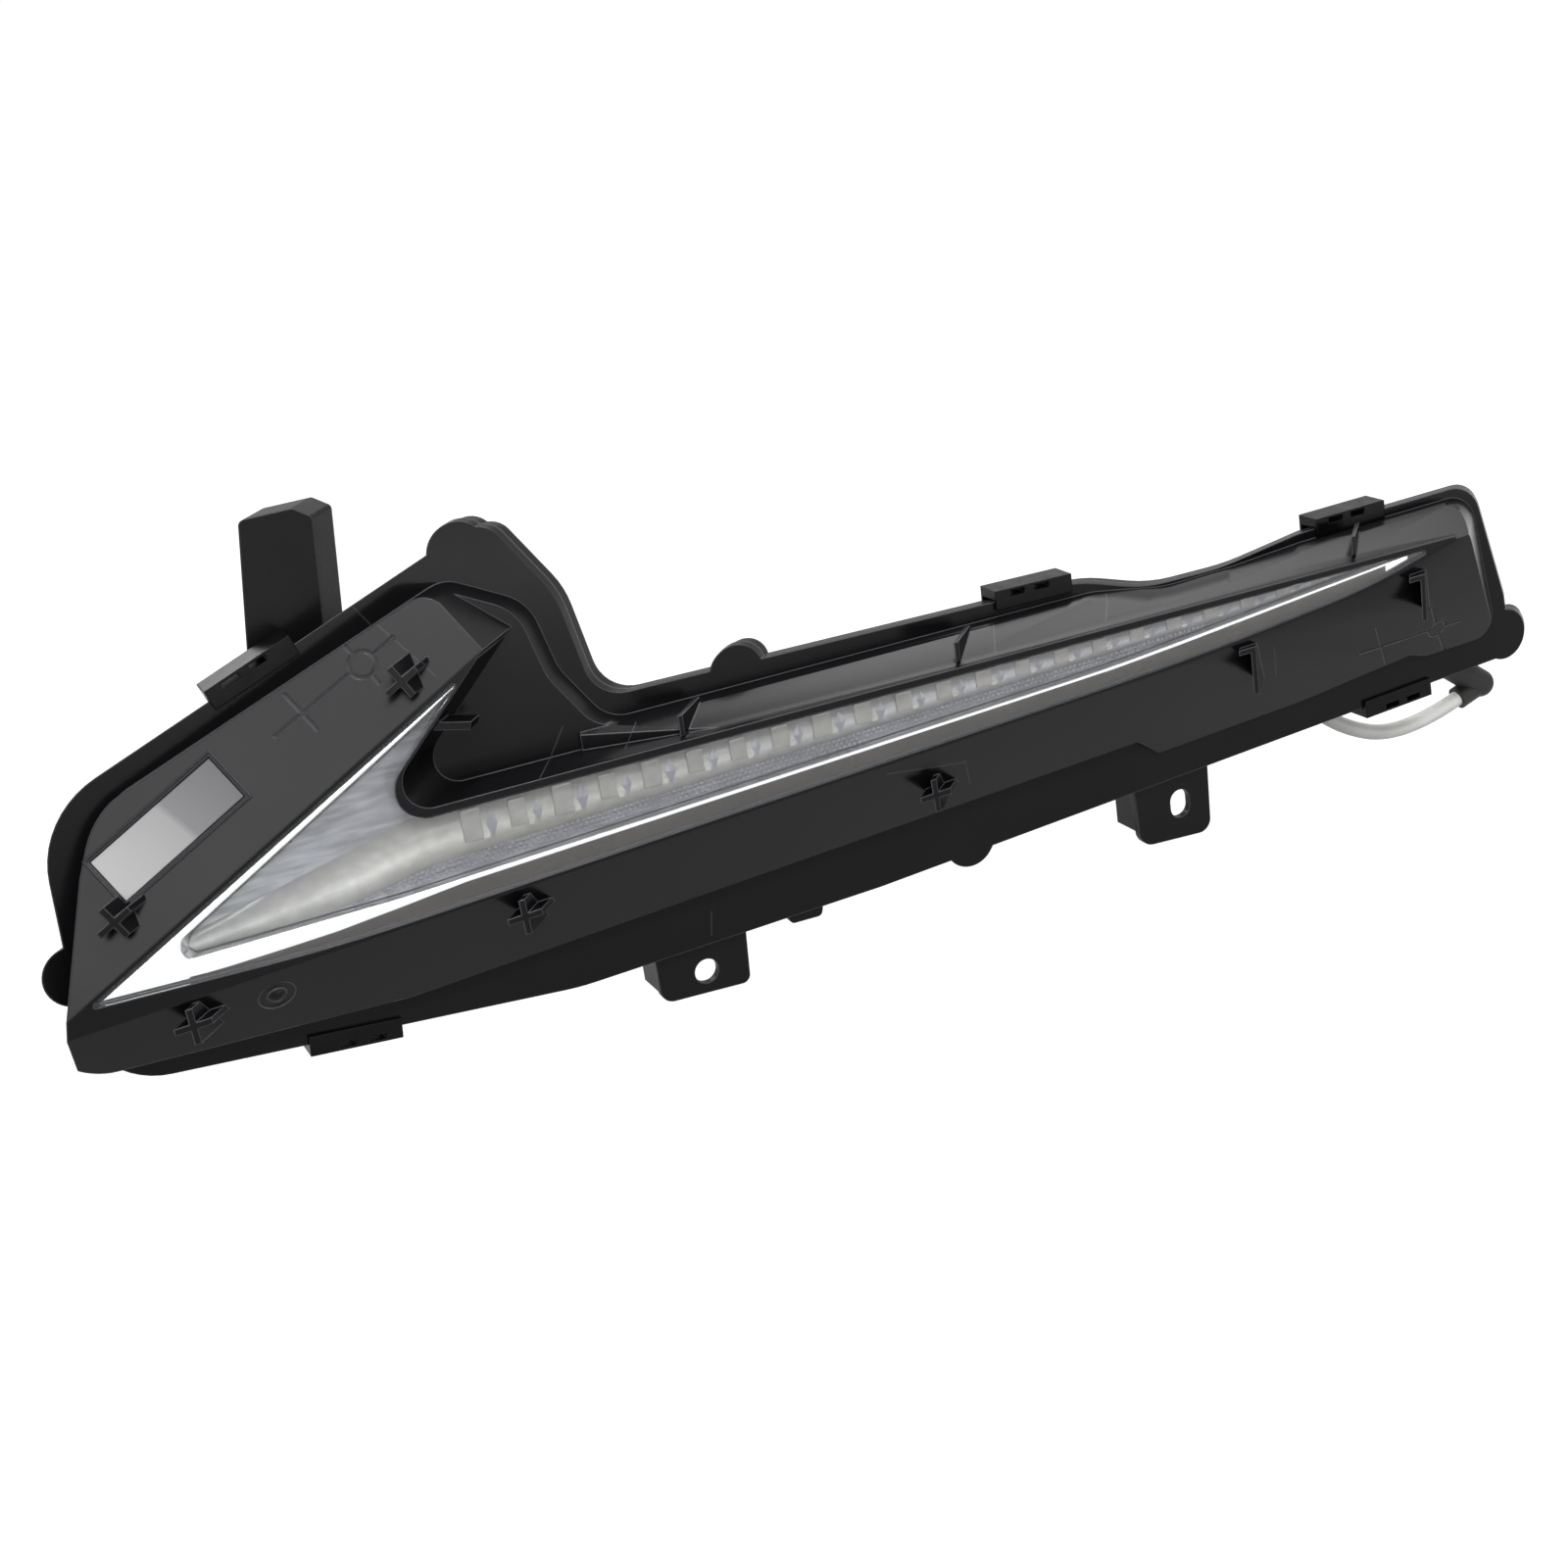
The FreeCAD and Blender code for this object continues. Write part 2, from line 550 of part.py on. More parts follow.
hollows.append(plate("TabSlot", slot_outline, "-10", "10"))
hollows.append(rod("TabHole", Vector(0, -10, 0), Vector(0, 1, 0), "Sizes.tab_hole / 2", 20))
shell = cut("HousingShell", fuse("HousingBulk", bulk), hollows)
driver_x = 165
driver_z = 62
column_x = size("driver_long") / 2 - size("column_inset")
column_z = size("driver_tall") / 2 - size("column_inset")
corners = ((-1, -1), (1, -1), (-1, 1), (1, 1))
driver_places = [(driver_x + side * column_x, driver_z + up * column_z) for side, up in corners]
stands = [shell]
bores = []
for i, (x, z, depth) in enumerate(screw_places):
    stands.append(rod("SinkPost%d" % i, Vector(x, size("sink_back"), z), Vector(0, 1, 0), "Sizes.screw_post / 2",
                      "Sizes.%s_depth - Sizes.sink_back - Sizes.wall / 2" % depth))
    bores.append(rod("SinkBore%d" % i, Vector(x, size("sink_back") - 1, z), Vector(0, 1, 0),
                     "Sizes.screw_dia / 2 + Sizes.fit_gap", "Sizes.far_back - Sizes.sink_back"))
for i, (x, z) in enumerate(driver_places):
    stands.append(rod("DriverPost%d" % i, Vector(x, size("shallow_depth") - 12, z), Vector(0, 1, 0),
                      "Sizes.small_screw / 2 + 2.5", "12 - Sizes.wall / 2"))
    bores.append(rod("DriverBore%d" % i, Vector(x, size("shallow_depth") - 10, z), Vector(0, 1, 0),
                     "Sizes.small_screw / 2 + Sizes.fit_gap", 20))
rear_housing = cut("RearHousing", fuse("HousingStands", stands), bores)


# Pan-head screw along Y with a hexagon socket; the head's underside is at the given point
def screw(name, seat, diameter, head, tall, reach):
    shank = rod(name + "Shank", seat - Vector(0, reach, 0), Vector(0, 1, 0), "%s / 2" % diameter, reach)
    cap = rod(name + "Head", seat, Vector(0, 1, 0), "%s / 2" % head, tall)
    socket = doc.addObject("Part::Prism", name + "Socket")
    socket.Polygon = 6
    socket.setExpression("Circumradius", "%s * 0.45" % diameter)
    socket.Height = 10
    socket.Placement = Placement(seat + Vector(0, size("screw_head_tall") * 0.4, 0),
                                 Rotation(Vector(0, 0, 1), Vector(0, 1, 0)))
    return cut(name, fuse(name + "Blank", [shank, cap]), [socket])


rear_screws = group("RearScrews", [
    screw("RearScrew%d" % i, Vector(x, size("%s_depth" % depth), z), "Sizes.screw_dia", "Sizes.screw_head",
          "Sizes.screw_head_tall", size("%s_depth" % depth) - size("sink_back") + size("sink_thick") / 2 - 0.5)
    for i, (x, z, depth) in enumerate(screw_places)])


# Spring clip over both flanges at a place on a straight edge of the flange outline
def edge_clip(name, first, second, x, outward):
    slope = slope_between(first, second)
    angle = math.degrees(math.atan(slope))
    heights = [first[1] + slope * (x - size("draw_lean") * y - first[0]) for y in (0, size("cover_front"))]
    edge = max(heights) if outward > 0 else min(heights)
    long = size("clip_long")
    leg = size("clip_leg")
    thick = size("clip_wall")
    stack = -size("cover_front")
    blank = box(name + "Blank", Vector(-long / 2, -stack - thick, -leg), "Sizes.clip_long",
                "2 * Sizes.clip_wall - Sizes.cover_front", "Sizes.clip_leg + Sizes.clip_web")
    mouth = box(name + "Mouth", Vector(-long, -stack, -leg - 1), "2 * Sizes.clip_long", "-Sizes.cover_front",
                "Sizes.clip_leg + 1.2")
    slots = [box(name + "Slot%d" % i, Vector(middle - size("clip_slot") / 2, -stack - 10, 1), "Sizes.clip_slot",
                 60, "Sizes.clip_web - 2") for i, middle in enumerate((-0.22 * long, 0.1 * long))]
    made = cut(name, blank, [mouth] + slots)
    tilt = Rotation(Vector(0, 1, 0), -angle)
    if outward < 0:
        tilt = tilt.multiply(Rotation(Vector(0, 1, 0), 180))
    made.Placement = Placement(Vector(x, 0, edge), tilt)
    return made


edge_clips = group("EdgeClips", [
    edge_clip("ClipTopMiddle", flange_high[3], flange_high[2], 141, 1),
    edge_clip("ClipTopOuter", flange_high[1], flange_high[0], 277, 1),
    edge_clip("ClipBottomOuter", flange_low[2], flange_low[3], 294, -1),
    edge_clip("ClipBottomInner", flange_low[0], flange_low[1], -125, -1),
    edge_clip("ClipTopInner", flange_high[5], flange_high[4], -132, 1),
])

# Driver module on the back: gasket, finned case with corner columns, board, screws and plug
case_front = size("shallow_depth") + size("gasket_thick")
case_corner = size("driver_corner")
case_wall = 2.2
gasket_edge = sketch("GasketEdge", [rectangle(driver_x, driver_z, size("driver_long"), size("driver_tall"),
                                              case_corner)])
gasket_hole = sketch("GasketHole", [rectangle(driver_x, driver_z, size("driver_long") - 2 * case_wall,
                                              size("driver_tall") - 2 * case_wall, case_corner - case_wall)])
gasket_face = plate("GasketBlank", gasket_edge, "Sizes.shallow_depth", "Sizes.shallow_depth + Sizes.gasket_thick")
gasket_open = plate("GasketOpen", gasket_hole, "0", "100")
case_blank = plate("CaseBlank", gasket_edge, "Sizes.shallow_depth + Sizes.gasket_thick",
                   "Sizes.shallow_depth + Sizes.gasket_thick + Sizes.driver_deep")
case_room = plate("CaseRoom", gasket_hole, "0",
                  "Sizes.shallow_depth + Sizes.gasket_thick + Sizes.driver_deep - Sizes.wall")
columns = [rod("Column%d" % i, Vector(x, case_front, z), Vector(0, 1, 0), "Sizes.small_screw / 2 + 2.5",
               "Sizes.driver_deep - Sizes.wall / 2") for i, (x, z) in enumerate(driver_places)]
collars = [rod("Collar%d" % i, Vector(x, size("shallow_depth"), z), Vector(0, 1, 0), "Sizes.small_screw / 2 + 2.5",
               "Sizes.gasket_thick") for i, (x, z) in enumerate(driver_places)]
column_bores = [rod("ColumnBore%d" % i, Vector(x, 0, z), Vector(0, 1, 0), "Sizes.small_screw / 2 + Sizes.fit_gap",
                    "100") for i, (x, z) in enumerate(driver_places)]
driver_gasket = cut("DriverGasket", fuse("GasketRing", [cut("GasketFrame", gasket_face, [gasket_open])] + collars),
                    column_bores)
case_back = case_front + size("driver_deep")
fin_half = column_x - 5
fin_pitch = size("driver_tall") * 0.11
fin_count = 6
fin_low = driver_z - (fin_count - 1) / 2 * fin_pitch - size("fin_thick") / 2
case_fins = [box("CaseFin%d" % i, Vector(driver_x - fin_half, case_back - 0.5, fin_low + i * fin_pitch),
                 "Sizes.driver_long - 2 * Sizes.column_inset - 10", "Sizes.driver_fin + 0.5", "Sizes.fin_thick")
             for i in range(fin_count)]
board_seat = case_front + size("driver_deep") / 2
board_x = column_x - 8
board_z = column_z + 3
case_pillars = [rod("Pillar%d" % i, Vector(driver_x + side * (board_x - 3), board_seat, driver_z + up * (board_z - 3)),
                    Vector(0, 1, 0), "2.5", case_back - size("wall") / 2 - board_seat)
                for i, (side, up) in enumerate(corners)]
case_solids = [cut("CaseCup", case_blank, [case_room])] + columns + case_pillars + case_fins
driver_case = cut("DriverCase", fuse("CaseShell", case_solids), column_bores)
board_edge = sketch("DriverBoardEdge", [rectangle(driver_x, driver_z, 2 * board_x, 2 * board_z)])
driver_board = plate("DriverBoard", board_edge, "%f - Sizes.board_thick" % board_seat, "%f" % board_seat)
driver_screws = group("DriverScrews", [
    screw("DriverScrew%d" % i, Vector(x, case_back, z), "Sizes.small_screw", "Sizes.small_screw * 2", "2",
          size("driver_deep") + size("gasket_thick") + 8) for i, (x, z) in enumerate(driver_places)])
plug_start = Vector(driver_x + size("driver_long") / 2, case_front + 2.5, driver_z - size("driver_tall") / 2)
plug_body = box("PlugBody", plug_start, "10", "13", "13")
plug_neck = rod("PlugNeck", plug_start + Vector(10, 6.5, 6.5), Vector(1, 0, 0), "Sizes.cable_dia / 2 + 2", "7")
plug_latch = box("PlugLatch", plug_start + Vector(1, 13, 4), "8", "1.6", "5")
driver_plug = fuse("DriverPlug", [plug_body, plug_neck, plug_latch])

# Right-angle boot under the outer end of the housing
boot_y = 12
mouth = Vector(338.5, boot_y, 6.8)
loop_low = Vector(311, boot_y, -1.8)
mouth_run = mouth - loop_low
mouth_run.normalize()
elbow = mouth + mouth_run * 12
stub = Vector(326, boot_y, 29)
boot_parts = [
    rod("BootStub", stub, Vector(0, 0, 1), "Sizes.boot_radius + 1", boot_wall - stub.z),
    ball("BootShoulder", stub, "Sizes.boot_radius + 1"),
    rod("BootLeg", stub, elbow - stub, "Sizes.boot_radius", (elbow - stub).Length),
    ball("BootElbow", elbow, "Sizes.boot_radius"),
    rod("BootCuff", mouth, mouth_run, "Sizes.boot_radius - 1", (elbow - mouth).Length),
]
cable_boot = fuse("CableBoot", boot_parts)

# Jumper cable from the driver plug to the boot: straight runs joined by tangent arcs
route = [plug_start + Vector(17, 6.5, 6.5), plug_start + Vector(46, 6.5, 6.5), Vector(266, 29, 31),
         Vector(284, 19.5, 7.5), loop_low, mouth]
path = []
last = route[0]
for before, here, after in zip(route, route[1:], route[2:]):
    arriving = before - here
    leaving = after - here
    half = arriving.getAngle(leaving) / 2
    reach = 0.45 * min(arriving.Length, leaving.Length)
    arriving.normalize()
    leaving.normalize()
    bisector = arriving + leaving
    bisector.normalize()
    radius = reach * math.tan(half)
    print("cable bend radius", round(radius, 1))
    middle = here + bisector * (radius / math.sin(half) - radius)
    path.append(Part.LineSegment(last, here + arriving * reach).toShape())
    path.append(Part.Arc(here + arriving * reach, middle, here + leaving * reach).toShape())
    last = here + leaving * reach
path.append(Part.LineSegment(last, route[-1]).toShape())
cable_path = doc.addObject("Part::Feature", "CablePath")
cable_path.Shape = Part.Wire(path)
cable_ring = doc.addObject("Part::Circle", "CableRing")
cable_ring.setExpression("Radius", "Sizes.cable_dia / 2")
cable_ring.Placement = Placement(route[0], Rotation(Vector(0, 0, 1), route[1] - route[0]))
lead_cable = doc.addObject("Part::Sweep", "LeadCable")
lead_cable.Sections = [cable_ring]
lead_cable.Spine = (cable_path, ["Edge%d" % (i + 1) for i in range(len(path))])
lead_cable.Solid = True
lead_cable.Frenet = False

# Breather cap on the deep part of the housing
breather_foot = Vector(-95, size("deep_depth"), 72)
breather_cap = fuse("BreatherCap", [
    rod("BreatherFoot", breather_foot, Vector(0, 1, 0), "Sizes.breather_radius - 2", "3"),
    rod("BreatherTop", breather_foot + Vector(0, 2, 0), Vector(0, 1, 0), "Sizes.breather_radius", "3.5"),
])

nodes = {
    "front_cover": front_cover, "outer_lens": outer_lens, "marking_panel": marking_panel,
    "chrome_bezel": chrome_bezel, "inner_lens": inner_lens, "led_reflector": led_reflector, "leds": leds,
    "led_board": led_board, "heat_sink": heat_sink, "seal_bead": seal_bead, "rear_housing": rear_housing,
    "rear_screws": rear_screws, "edge_clips": edge_clips, "driver_gasket": driver_gasket,
    "driver_case": driver_case, "driver_board": driver_board, "driver_screws": driver_screws,
    "driver_plug": driver_plug, "cable_boot": cable_boot, "lead_cable": lead_cable, "breather_cap": breather_cap,
}
doc.recompute()
for made in doc.Objects:
    if "Invalid" in made.State or "Error" in made.State:
        raise RuntimeError("not built: " + made.Name)
os.makedirs("parts", exist_ok=True)
for node, made in nodes.items():
    made.Label = node
    if made.Shape.isNull() or not made.Shape.isValid():
        raise RuntimeError("bad shape: " + node)
    made.Shape.exportStep("parts/%s.step" % node)
    print(node, len(made.Shape.Solids), round(made.Shape.Volume), made.Shape.BoundBox)
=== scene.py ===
import bmesh
import bpy
import math
from mathutils import Matrix, Vector


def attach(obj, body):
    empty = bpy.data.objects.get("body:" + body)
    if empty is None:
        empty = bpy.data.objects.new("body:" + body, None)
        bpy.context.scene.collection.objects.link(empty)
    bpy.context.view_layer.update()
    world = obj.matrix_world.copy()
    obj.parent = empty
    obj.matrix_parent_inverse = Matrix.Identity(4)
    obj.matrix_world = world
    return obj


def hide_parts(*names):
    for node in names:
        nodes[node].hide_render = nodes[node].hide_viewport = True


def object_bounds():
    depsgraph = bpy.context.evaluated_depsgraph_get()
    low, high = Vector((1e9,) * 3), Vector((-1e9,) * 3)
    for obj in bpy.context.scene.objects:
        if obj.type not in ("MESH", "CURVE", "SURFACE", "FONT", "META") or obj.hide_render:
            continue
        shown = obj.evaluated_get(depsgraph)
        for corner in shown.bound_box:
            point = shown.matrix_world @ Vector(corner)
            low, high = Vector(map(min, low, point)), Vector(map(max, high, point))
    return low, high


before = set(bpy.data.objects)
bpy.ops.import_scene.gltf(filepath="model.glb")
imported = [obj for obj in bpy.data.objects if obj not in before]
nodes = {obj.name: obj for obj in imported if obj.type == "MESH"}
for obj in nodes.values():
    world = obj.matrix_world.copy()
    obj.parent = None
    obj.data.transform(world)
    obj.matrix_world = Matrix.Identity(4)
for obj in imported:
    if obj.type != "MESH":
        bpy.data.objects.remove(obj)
cadLow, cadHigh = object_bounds()
scene = bpy.context.scene
scene.view_settings.view_transform = "Standard"
print("frame loaded", len(nodes), "nodes")

# The mould opens along a leaning line, so a point of a layer shifts sideways with its depth
drawLean = 0.9


def drawn(x, y, z):
    return Vector((x + drawLean * y, y, z)) / 1000


def linear(hexColour):
    parts = [int(hexColour[i:i + 2], 16) / 255 for i in (1, 3, 5)]
    return [p / 12.92 if p <= 0.04045 else ((p + 0.055) / 1.055) ** 2.4 for p in parts] + [1.0]


def link(obj):
    scene.collection.objects.link(obj)
    return obj


# One node with its settings; a value may be a plain number or another node's output
def addNode(tree, kind, values=None, **settings):
    node = tree.nodes.new(kind)
    for name, value in settings.items():
        setattr(node, name, value)
    for name, value in (values or {}).items():
        socket = node.inputs[name]
        if isinstance(value, bpy.types.NodeSocket):
            tree.links.new(value, socket)
        else:
            socket.default_value = value
    return node


def newMaterial(name, colour, roughness, **extra):
    made = bpy.data.materials.new(name)
    made.use_nodes = True
    shader = made.node_tree.nodes["Principled BSDF"]
    shader.inputs["Base Color"].default_value = linear(colour)
    shader.inputs["Roughness"].default_value = roughness
    for socket, value in extra.items():
        shader.inputs[socket.replace("_", " ")].default_value = value
    return made, made.node_tree, shader


# The stops of a colour ramp node, as places and colours
def fillRamp(node, stops):
    elements = node.color_ramp.elements
    while len(elements) < len(stops):
        elements.new(0.5)
    for element, (place, colour) in zip(elements, stops):
        element.position = place
        element.color = colour


# 1 for the rays that show the white surround: from the camera, in a reflection or through glass
def seenDirectly(tree):
    path = addNode(tree, "ShaderNodeLightPath")
    seen = path.outputs["Is Camera Ray"]
    for kind in ("Is Glossy Ray", "Is Transmission Ray"):
        seen = addNode(tree, "ShaderNodeMath", {0: seen, 1: path.outputs[kind]}, operation="MAXIMUM").outputs[0]
    return seen


# Camera at the viewing angle of the photograph
cameraSettings = {"azimuth": -22.0, "elevation": 20.0, "roll": 8.5, "distance": 0.85,
                  "target": (0.04019, 0.0, 0.05783), "lens": 56.25}


def addCamera(s):
    a, e, r = (math.radians(s[k]) for k in ("azimuth", "elevation", "roll"))
    back = Vector((math.sin(a) * math.cos(e), -math.cos(a) * math.cos(e), math.sin(e)))
    side = (-back).cross(Vector((0, 0, 1))).normalized()
    above = side.cross(-back)
    right = side * math.cos(r) - above * math.sin(r)
    up = above * math.cos(r) + side * math.sin(r)
    place = Vector(s["target"]) + back * s["distance"]
    data = bpy.data.cameras.new("camera")
    data.lens = s["lens"]
    data.sensor_width = 36
    data.clip_start = 0.01
    cam = link(bpy.data.objects.new("camera", data))
    cam.matrix_world = Matrix(((right.x, up.x, back.x, place.x), (right.y, up.y, back.y, place.y),
                               (right.z, up.z, back.z, place.z), (0, 0, 0, 1)))
    scene.camera = cam


addCamera(cameraSettings)

# Light: a white surround, with softboxes over the camera, at the left, overhead, low in front and two behind
lightSettings = {"surround": 0.4, "aim": (0.08, 0, 0.08)}
softboxes = {
    "frontSoftbox": {"azimuth": -7, "elevation": 43, "distance": 1.3, "wide": 0.5, "tall": 0.16, "watts": 7.5},
    "leftSoftbox": {"azimuth": -33, "elevation": 31, "distance": 1.32, "wide": 0.55, "tall": 0.5, "watts": 6.4},
    "topSoftbox": {"azimuth": 60, "elevation": 80, "distance": 1.1, "wide": 0.6, "tall": 0.08, "watts": 8.0},
    "backSoftbox": {"azimuth": 118, "elevation": 52, "distance": 1.2, "wide": 0.8, "tall": 0.45, "watts": 7.0},
    "lowSoftbox": {"azimuth": 16, "elevation": -5, "distance": 0.5, "wide": 1, "tall": 0.035, "watts": 0.9},
    "rearSoftbox": {"azimuth": 204, "elevation": 36, "distance": 1.3, "wide": 0.6, "tall": 0.4, "watts": 10},
}


def addLight(name, s):
    a, e = math.radians(s["azimuth"]), math.radians(s["elevation"])
    out = Vector((math.sin(a) * math.cos(e), -math.cos(a) * math.cos(e), math.sin(e)))
    data = bpy.data.lights.new(name, "AREA")
    data.shape = "RECTANGLE"
    data.size = s["wide"]
    data.size_y = s["tall"]
    data.energy = s["watts"]
    lamp = link(bpy.data.objects.new(name, data))
    lamp.location = Vector(lightSettings["aim"]) + out * s["distance"]
    lamp.rotation_euler = out.to_track_quat("Z", "Y").to_euler()
    lamp.visible_camera = False


for name, settings in softboxes.items():
    addLight(name, settings)

world = bpy.data.worlds.new("surround")
scene.world = world
world.use_nodes = True
tree = world.node_tree
tree.nodes.clear()
shown = addNode(tree, "ShaderNodeBackground", {"Color": (1, 1, 1, 1), "Strength": 1.0})
fill = addNode(tree, "ShaderNodeBackground", {"Color": (1, 1, 1, 1), "Strength": lightSettings["surround"]})
mixed = addNode(tree, "ShaderNodeMixShader", {0: seenDirectly(tree), 1: fill.outputs[0], 2: shown.outputs[0]})
addNode(tree, "ShaderNodeOutputWorld", {"Surface": mixed.outputs[0]})

# Pale floor: white to the camera, with the lamp's soft shadow left on it
floorSettings = {"colour": "#686868", "glow": 0.97, "reach": 12, "gap": 0.0005}
reach, level = floorSettings["reach"], cadLow.z - floorSettings["gap"]
floorMesh = bpy.data.meshes.new("floor")
floorMesh.from_pydata([(-reach, -reach, level), (reach, -reach, level), (reach, reach, level),
                       (-reach, reach, level)], [], [(0, 1, 2, 3)])
floor = link(bpy.data.objects.new("floor", floorMesh))
floorPaint = bpy.data.materials.new("paleFloorPaint")
floorPaint.use_nodes = True
tree = floorPaint.node_tree
tree.nodes.clear()
glow = addNode(tree, "ShaderNodeMath", {0: seenDirectly(tree), 1: floorSettings["glow"]}, operation="MULTIPLY")
paint = addNode(tree, "ShaderNodeBsdfDiffuse", {"Color": linear(floorSettings["colour"])})
lit = addNode(tree, "ShaderNodeEmission", {"Strength": glow.outputs[0]})
both = addNode(tree, "ShaderNodeAddShader", {0: paint.outputs[0], 1: lit.outputs[0]})
addNode(tree, "ShaderNodeOutputMaterial", {"Surface": both.outputs[0]})
floorMesh.materials.append(floorPaint)
print("camera, light and floor set")

# The used part of a noise texture's range
noiseRange = (0.3, 0.7)
# Depth of the grain as a share of its size
grainDepth = 0.2
# Cosines of the turn at which an edge's painted highlight begins and at which it is full
rubbedTurn = (0.995, 0.9)
# The way the cover's front looks
coverFacing = Vector((-0.2, -0.85, 0.45))


# Grain, clouded gloss, softened edges and a slight unevenness of colour, all in sizes of the real surface; where
# given, a painted highlight along the edges and the mould's insert lines
def addSurface(tree, shader, s):
    where = addNode(tree, "ShaderNodeTexCoord").outputs["Object"]
    cloud = addNode(tree, "ShaderNodeTexNoise", {"Vector": where, "Scale": 1 / s["cloud"], "Detail": 3.0})
    gloss = addNode(tree, "ShaderNodeMapRange", {"Value": cloud.outputs["Fac"], "From Min": noiseRange[0],
                                                 "From Max": noiseRange[1], "To Min": s["glossLow"],
                                                 "To Max": s["glossHigh"]})
    tree.links.new(gloss.outputs[0], shader.inputs["Roughness"])
    grain = addNode(tree, "ShaderNodeTexNoise", {"Vector": where, "Scale": 1 / s["grain"], "Detail": 2.0})
    bump = addNode(tree, "ShaderNodeBump", {"Height": grain.outputs["Fac"], "Strength": s["strength"],
                                            "Distance": s["grain"] * grainDepth})
    tree.links.new(bump.outputs[0], shader.inputs["Normal"])
    if "edge" in s:
        softened = addNode(tree, "ShaderNodeBevel", {"Radius": s["edge"]}, samples=8)
        tree.links.new(softened.outputs[0], bump.inputs["Normal"])
    if "colours" in s:
        blend = addNode(tree, "ShaderNodeMix", {"Factor": cloud.outputs["Fac"], "A": linear(s["colours"][0]),
                                                "B": linear(s["colours"][1])}, data_type="RGBA")
        tone = blend.outputs["Result"]
        # Painted highlight: the colour turns pale grey along edges, where the softened normal turns away from the
        # true one
        if "rubbed" in s:
            flat = addNode(tree, "ShaderNodeNewGeometry")
            turn = addNode(tree, "ShaderNodeVectorMath", {0: softened.outputs[0], 1: flat.outputs["Normal"]},
                           operation="DOT_PRODUCT")
            edge = addNode(tree, "ShaderNodeMapRange", {"Value": turn.outputs["Value"],
                                                        "From Min": rubbedTurn[0], "From Max": rubbedTurn[1]})
            edgeHighlighted = addNode(tree, "ShaderNodeMix", {"Factor": edge.outputs[0], "A": tone,
                                                   "B": linear(s["rubbed"])}, data_type="RGBA")
            tone = edgeHighlighted.outputs["Result"]
        for start, end in s.get("seams", ()):
            start, end = Vector(start) / 1000, Vector(end) / 1000
            along = (end - start).normalized()
            beside = along.cross(coverFacing).normalized()
            aside = addNode(tree, "ShaderNodeVectorMath", {0: where, 1: beside}, operation="DOT_PRODUCT")
            onward = addNode(tree, "ShaderNodeVectorMath", {0: where, 1: along}, operation="DOT_PRODUCT")
            near = addNode(tree, "ShaderNodeMath", {0: aside.outputs["Value"], 1: start.dot(beside),
                                                    2: s["seamWide"] / 2}, operation="COMPARE")
            within = addNode(tree, "ShaderNodeMath", {0: onward.outputs["Value"],
                                                      1: (start + end).dot(along) / 2,
                                                      2: (end - start).length / 2}, operation="COMPARE")
            both = addNode(tree, "ShaderNodeMath", {0: near.outputs[0], 1: within.outputs[0]},
                           operation="MULTIPLY")
            lined = addNode(tree, "ShaderNodeMix", {"Factor": both.outputs[0], "A": tone,
                                                    "B": linear(s["seamTone"])}, data_type="RGBA")
            tone = lined.outputs["Result"]
        tree.links.new(tone, shader.inputs["Base Color"])


# Fine lines left by the mould's inserts on the cover, from end to end in millimetres
insertLines = [
    ((-98.7, -13.3, 161.6), (-81.0, -30.3, 136.3)), ((-38.7, -14, 104.6), (-48.1, -14, 90.2)),
    ((-17.7, -12, 91.5), (-13.0, -12, 98.8)), ((161.1, -20, 91.5), (165.2, -20, 99.2)),
    ((116.2, -20, 92.1), (118.7, -20, 99.4)), ((2.0, -8, 14.6), (3.4, -8, 23.4)),
    ((97.6, -26.6, 58.0), (101.9, -19.6, 45.7)), ((66.0, -29.8, 62.4), (97.9, -25.8, 56.7)),
    ((226.3, -28.0, 66.3), (231.5, -20.8, 52.0)),
]

# Moulded black PC-ABS with a spark-eroded grain: satin, a little uneven in gloss
# The real grain is about 0.1 mm; it is drawn at 0.9 mm so that it does not flicker
# Its edges carry a painted highlight in pale grey
satinBlack, tree, shader = newMaterial("mouldedBlackPcAbs", "#0d0d0f", 0.24, Specular_IOR_Level=0.11)
addSurface(tree, shader, {"grain": 0.0009, "strength": 0.08, "cloud": 0.06, "glossLow": 0.21, "glossHigh": 0.27,
                          "edge": 0.0007, "colours": ("#09090b", "#101011"), "rubbed": "#48484d",
                          "seams": insertLines, "seamWide": 0.0005, "seamTone": "#2a2a2d"})

# Moulded black polypropylene: duller and deeper black, with faint flow marks
# Its edges carry a painted highlight in pale grey
dullBlack, tree, shader = newMaterial("mouldedBlackPolypropylene", "#090909", 0.4, Specular_IOR_Level=0.12)
addSurface(tree, shader, {"grain": 0.0014, "strength": 0.16, "cloud": 0.03, "glossLow": 0.36, "glossHigh": 0.46,
                          "edge": 0.0007, "colours": ("#060606", "#0d0d0d"), "rubbed": "#404043"})

# Clear acrylic of the outer lens: polished, with a breath of uneven polish
clearAcrylic, tree, shader = newMaterial("polishedClearAcrylic", "#fbfcfc", 0.02, IOR=1.49,
                                         Transmission_Weight=1.0)
addSurface(tree, shader, {"grain": 0.03, "strength": 0.02, "cloud": 0.05, "glossLow": 0.01, "glossHigh": 0.035})

# Vacuum-metallised plastic: bright and mirror-like, with a very slight waviness
chrome, tree, shader = newMaterial("metallisedChrome", "#f0f1f2", 0.1, Metallic=1.0)
addSurface(tree, shader, {"grain": 0.02, "strength": 0.05, "cloud": 0.02, "glossLow": 0.07, "glossHigh": 0.14})

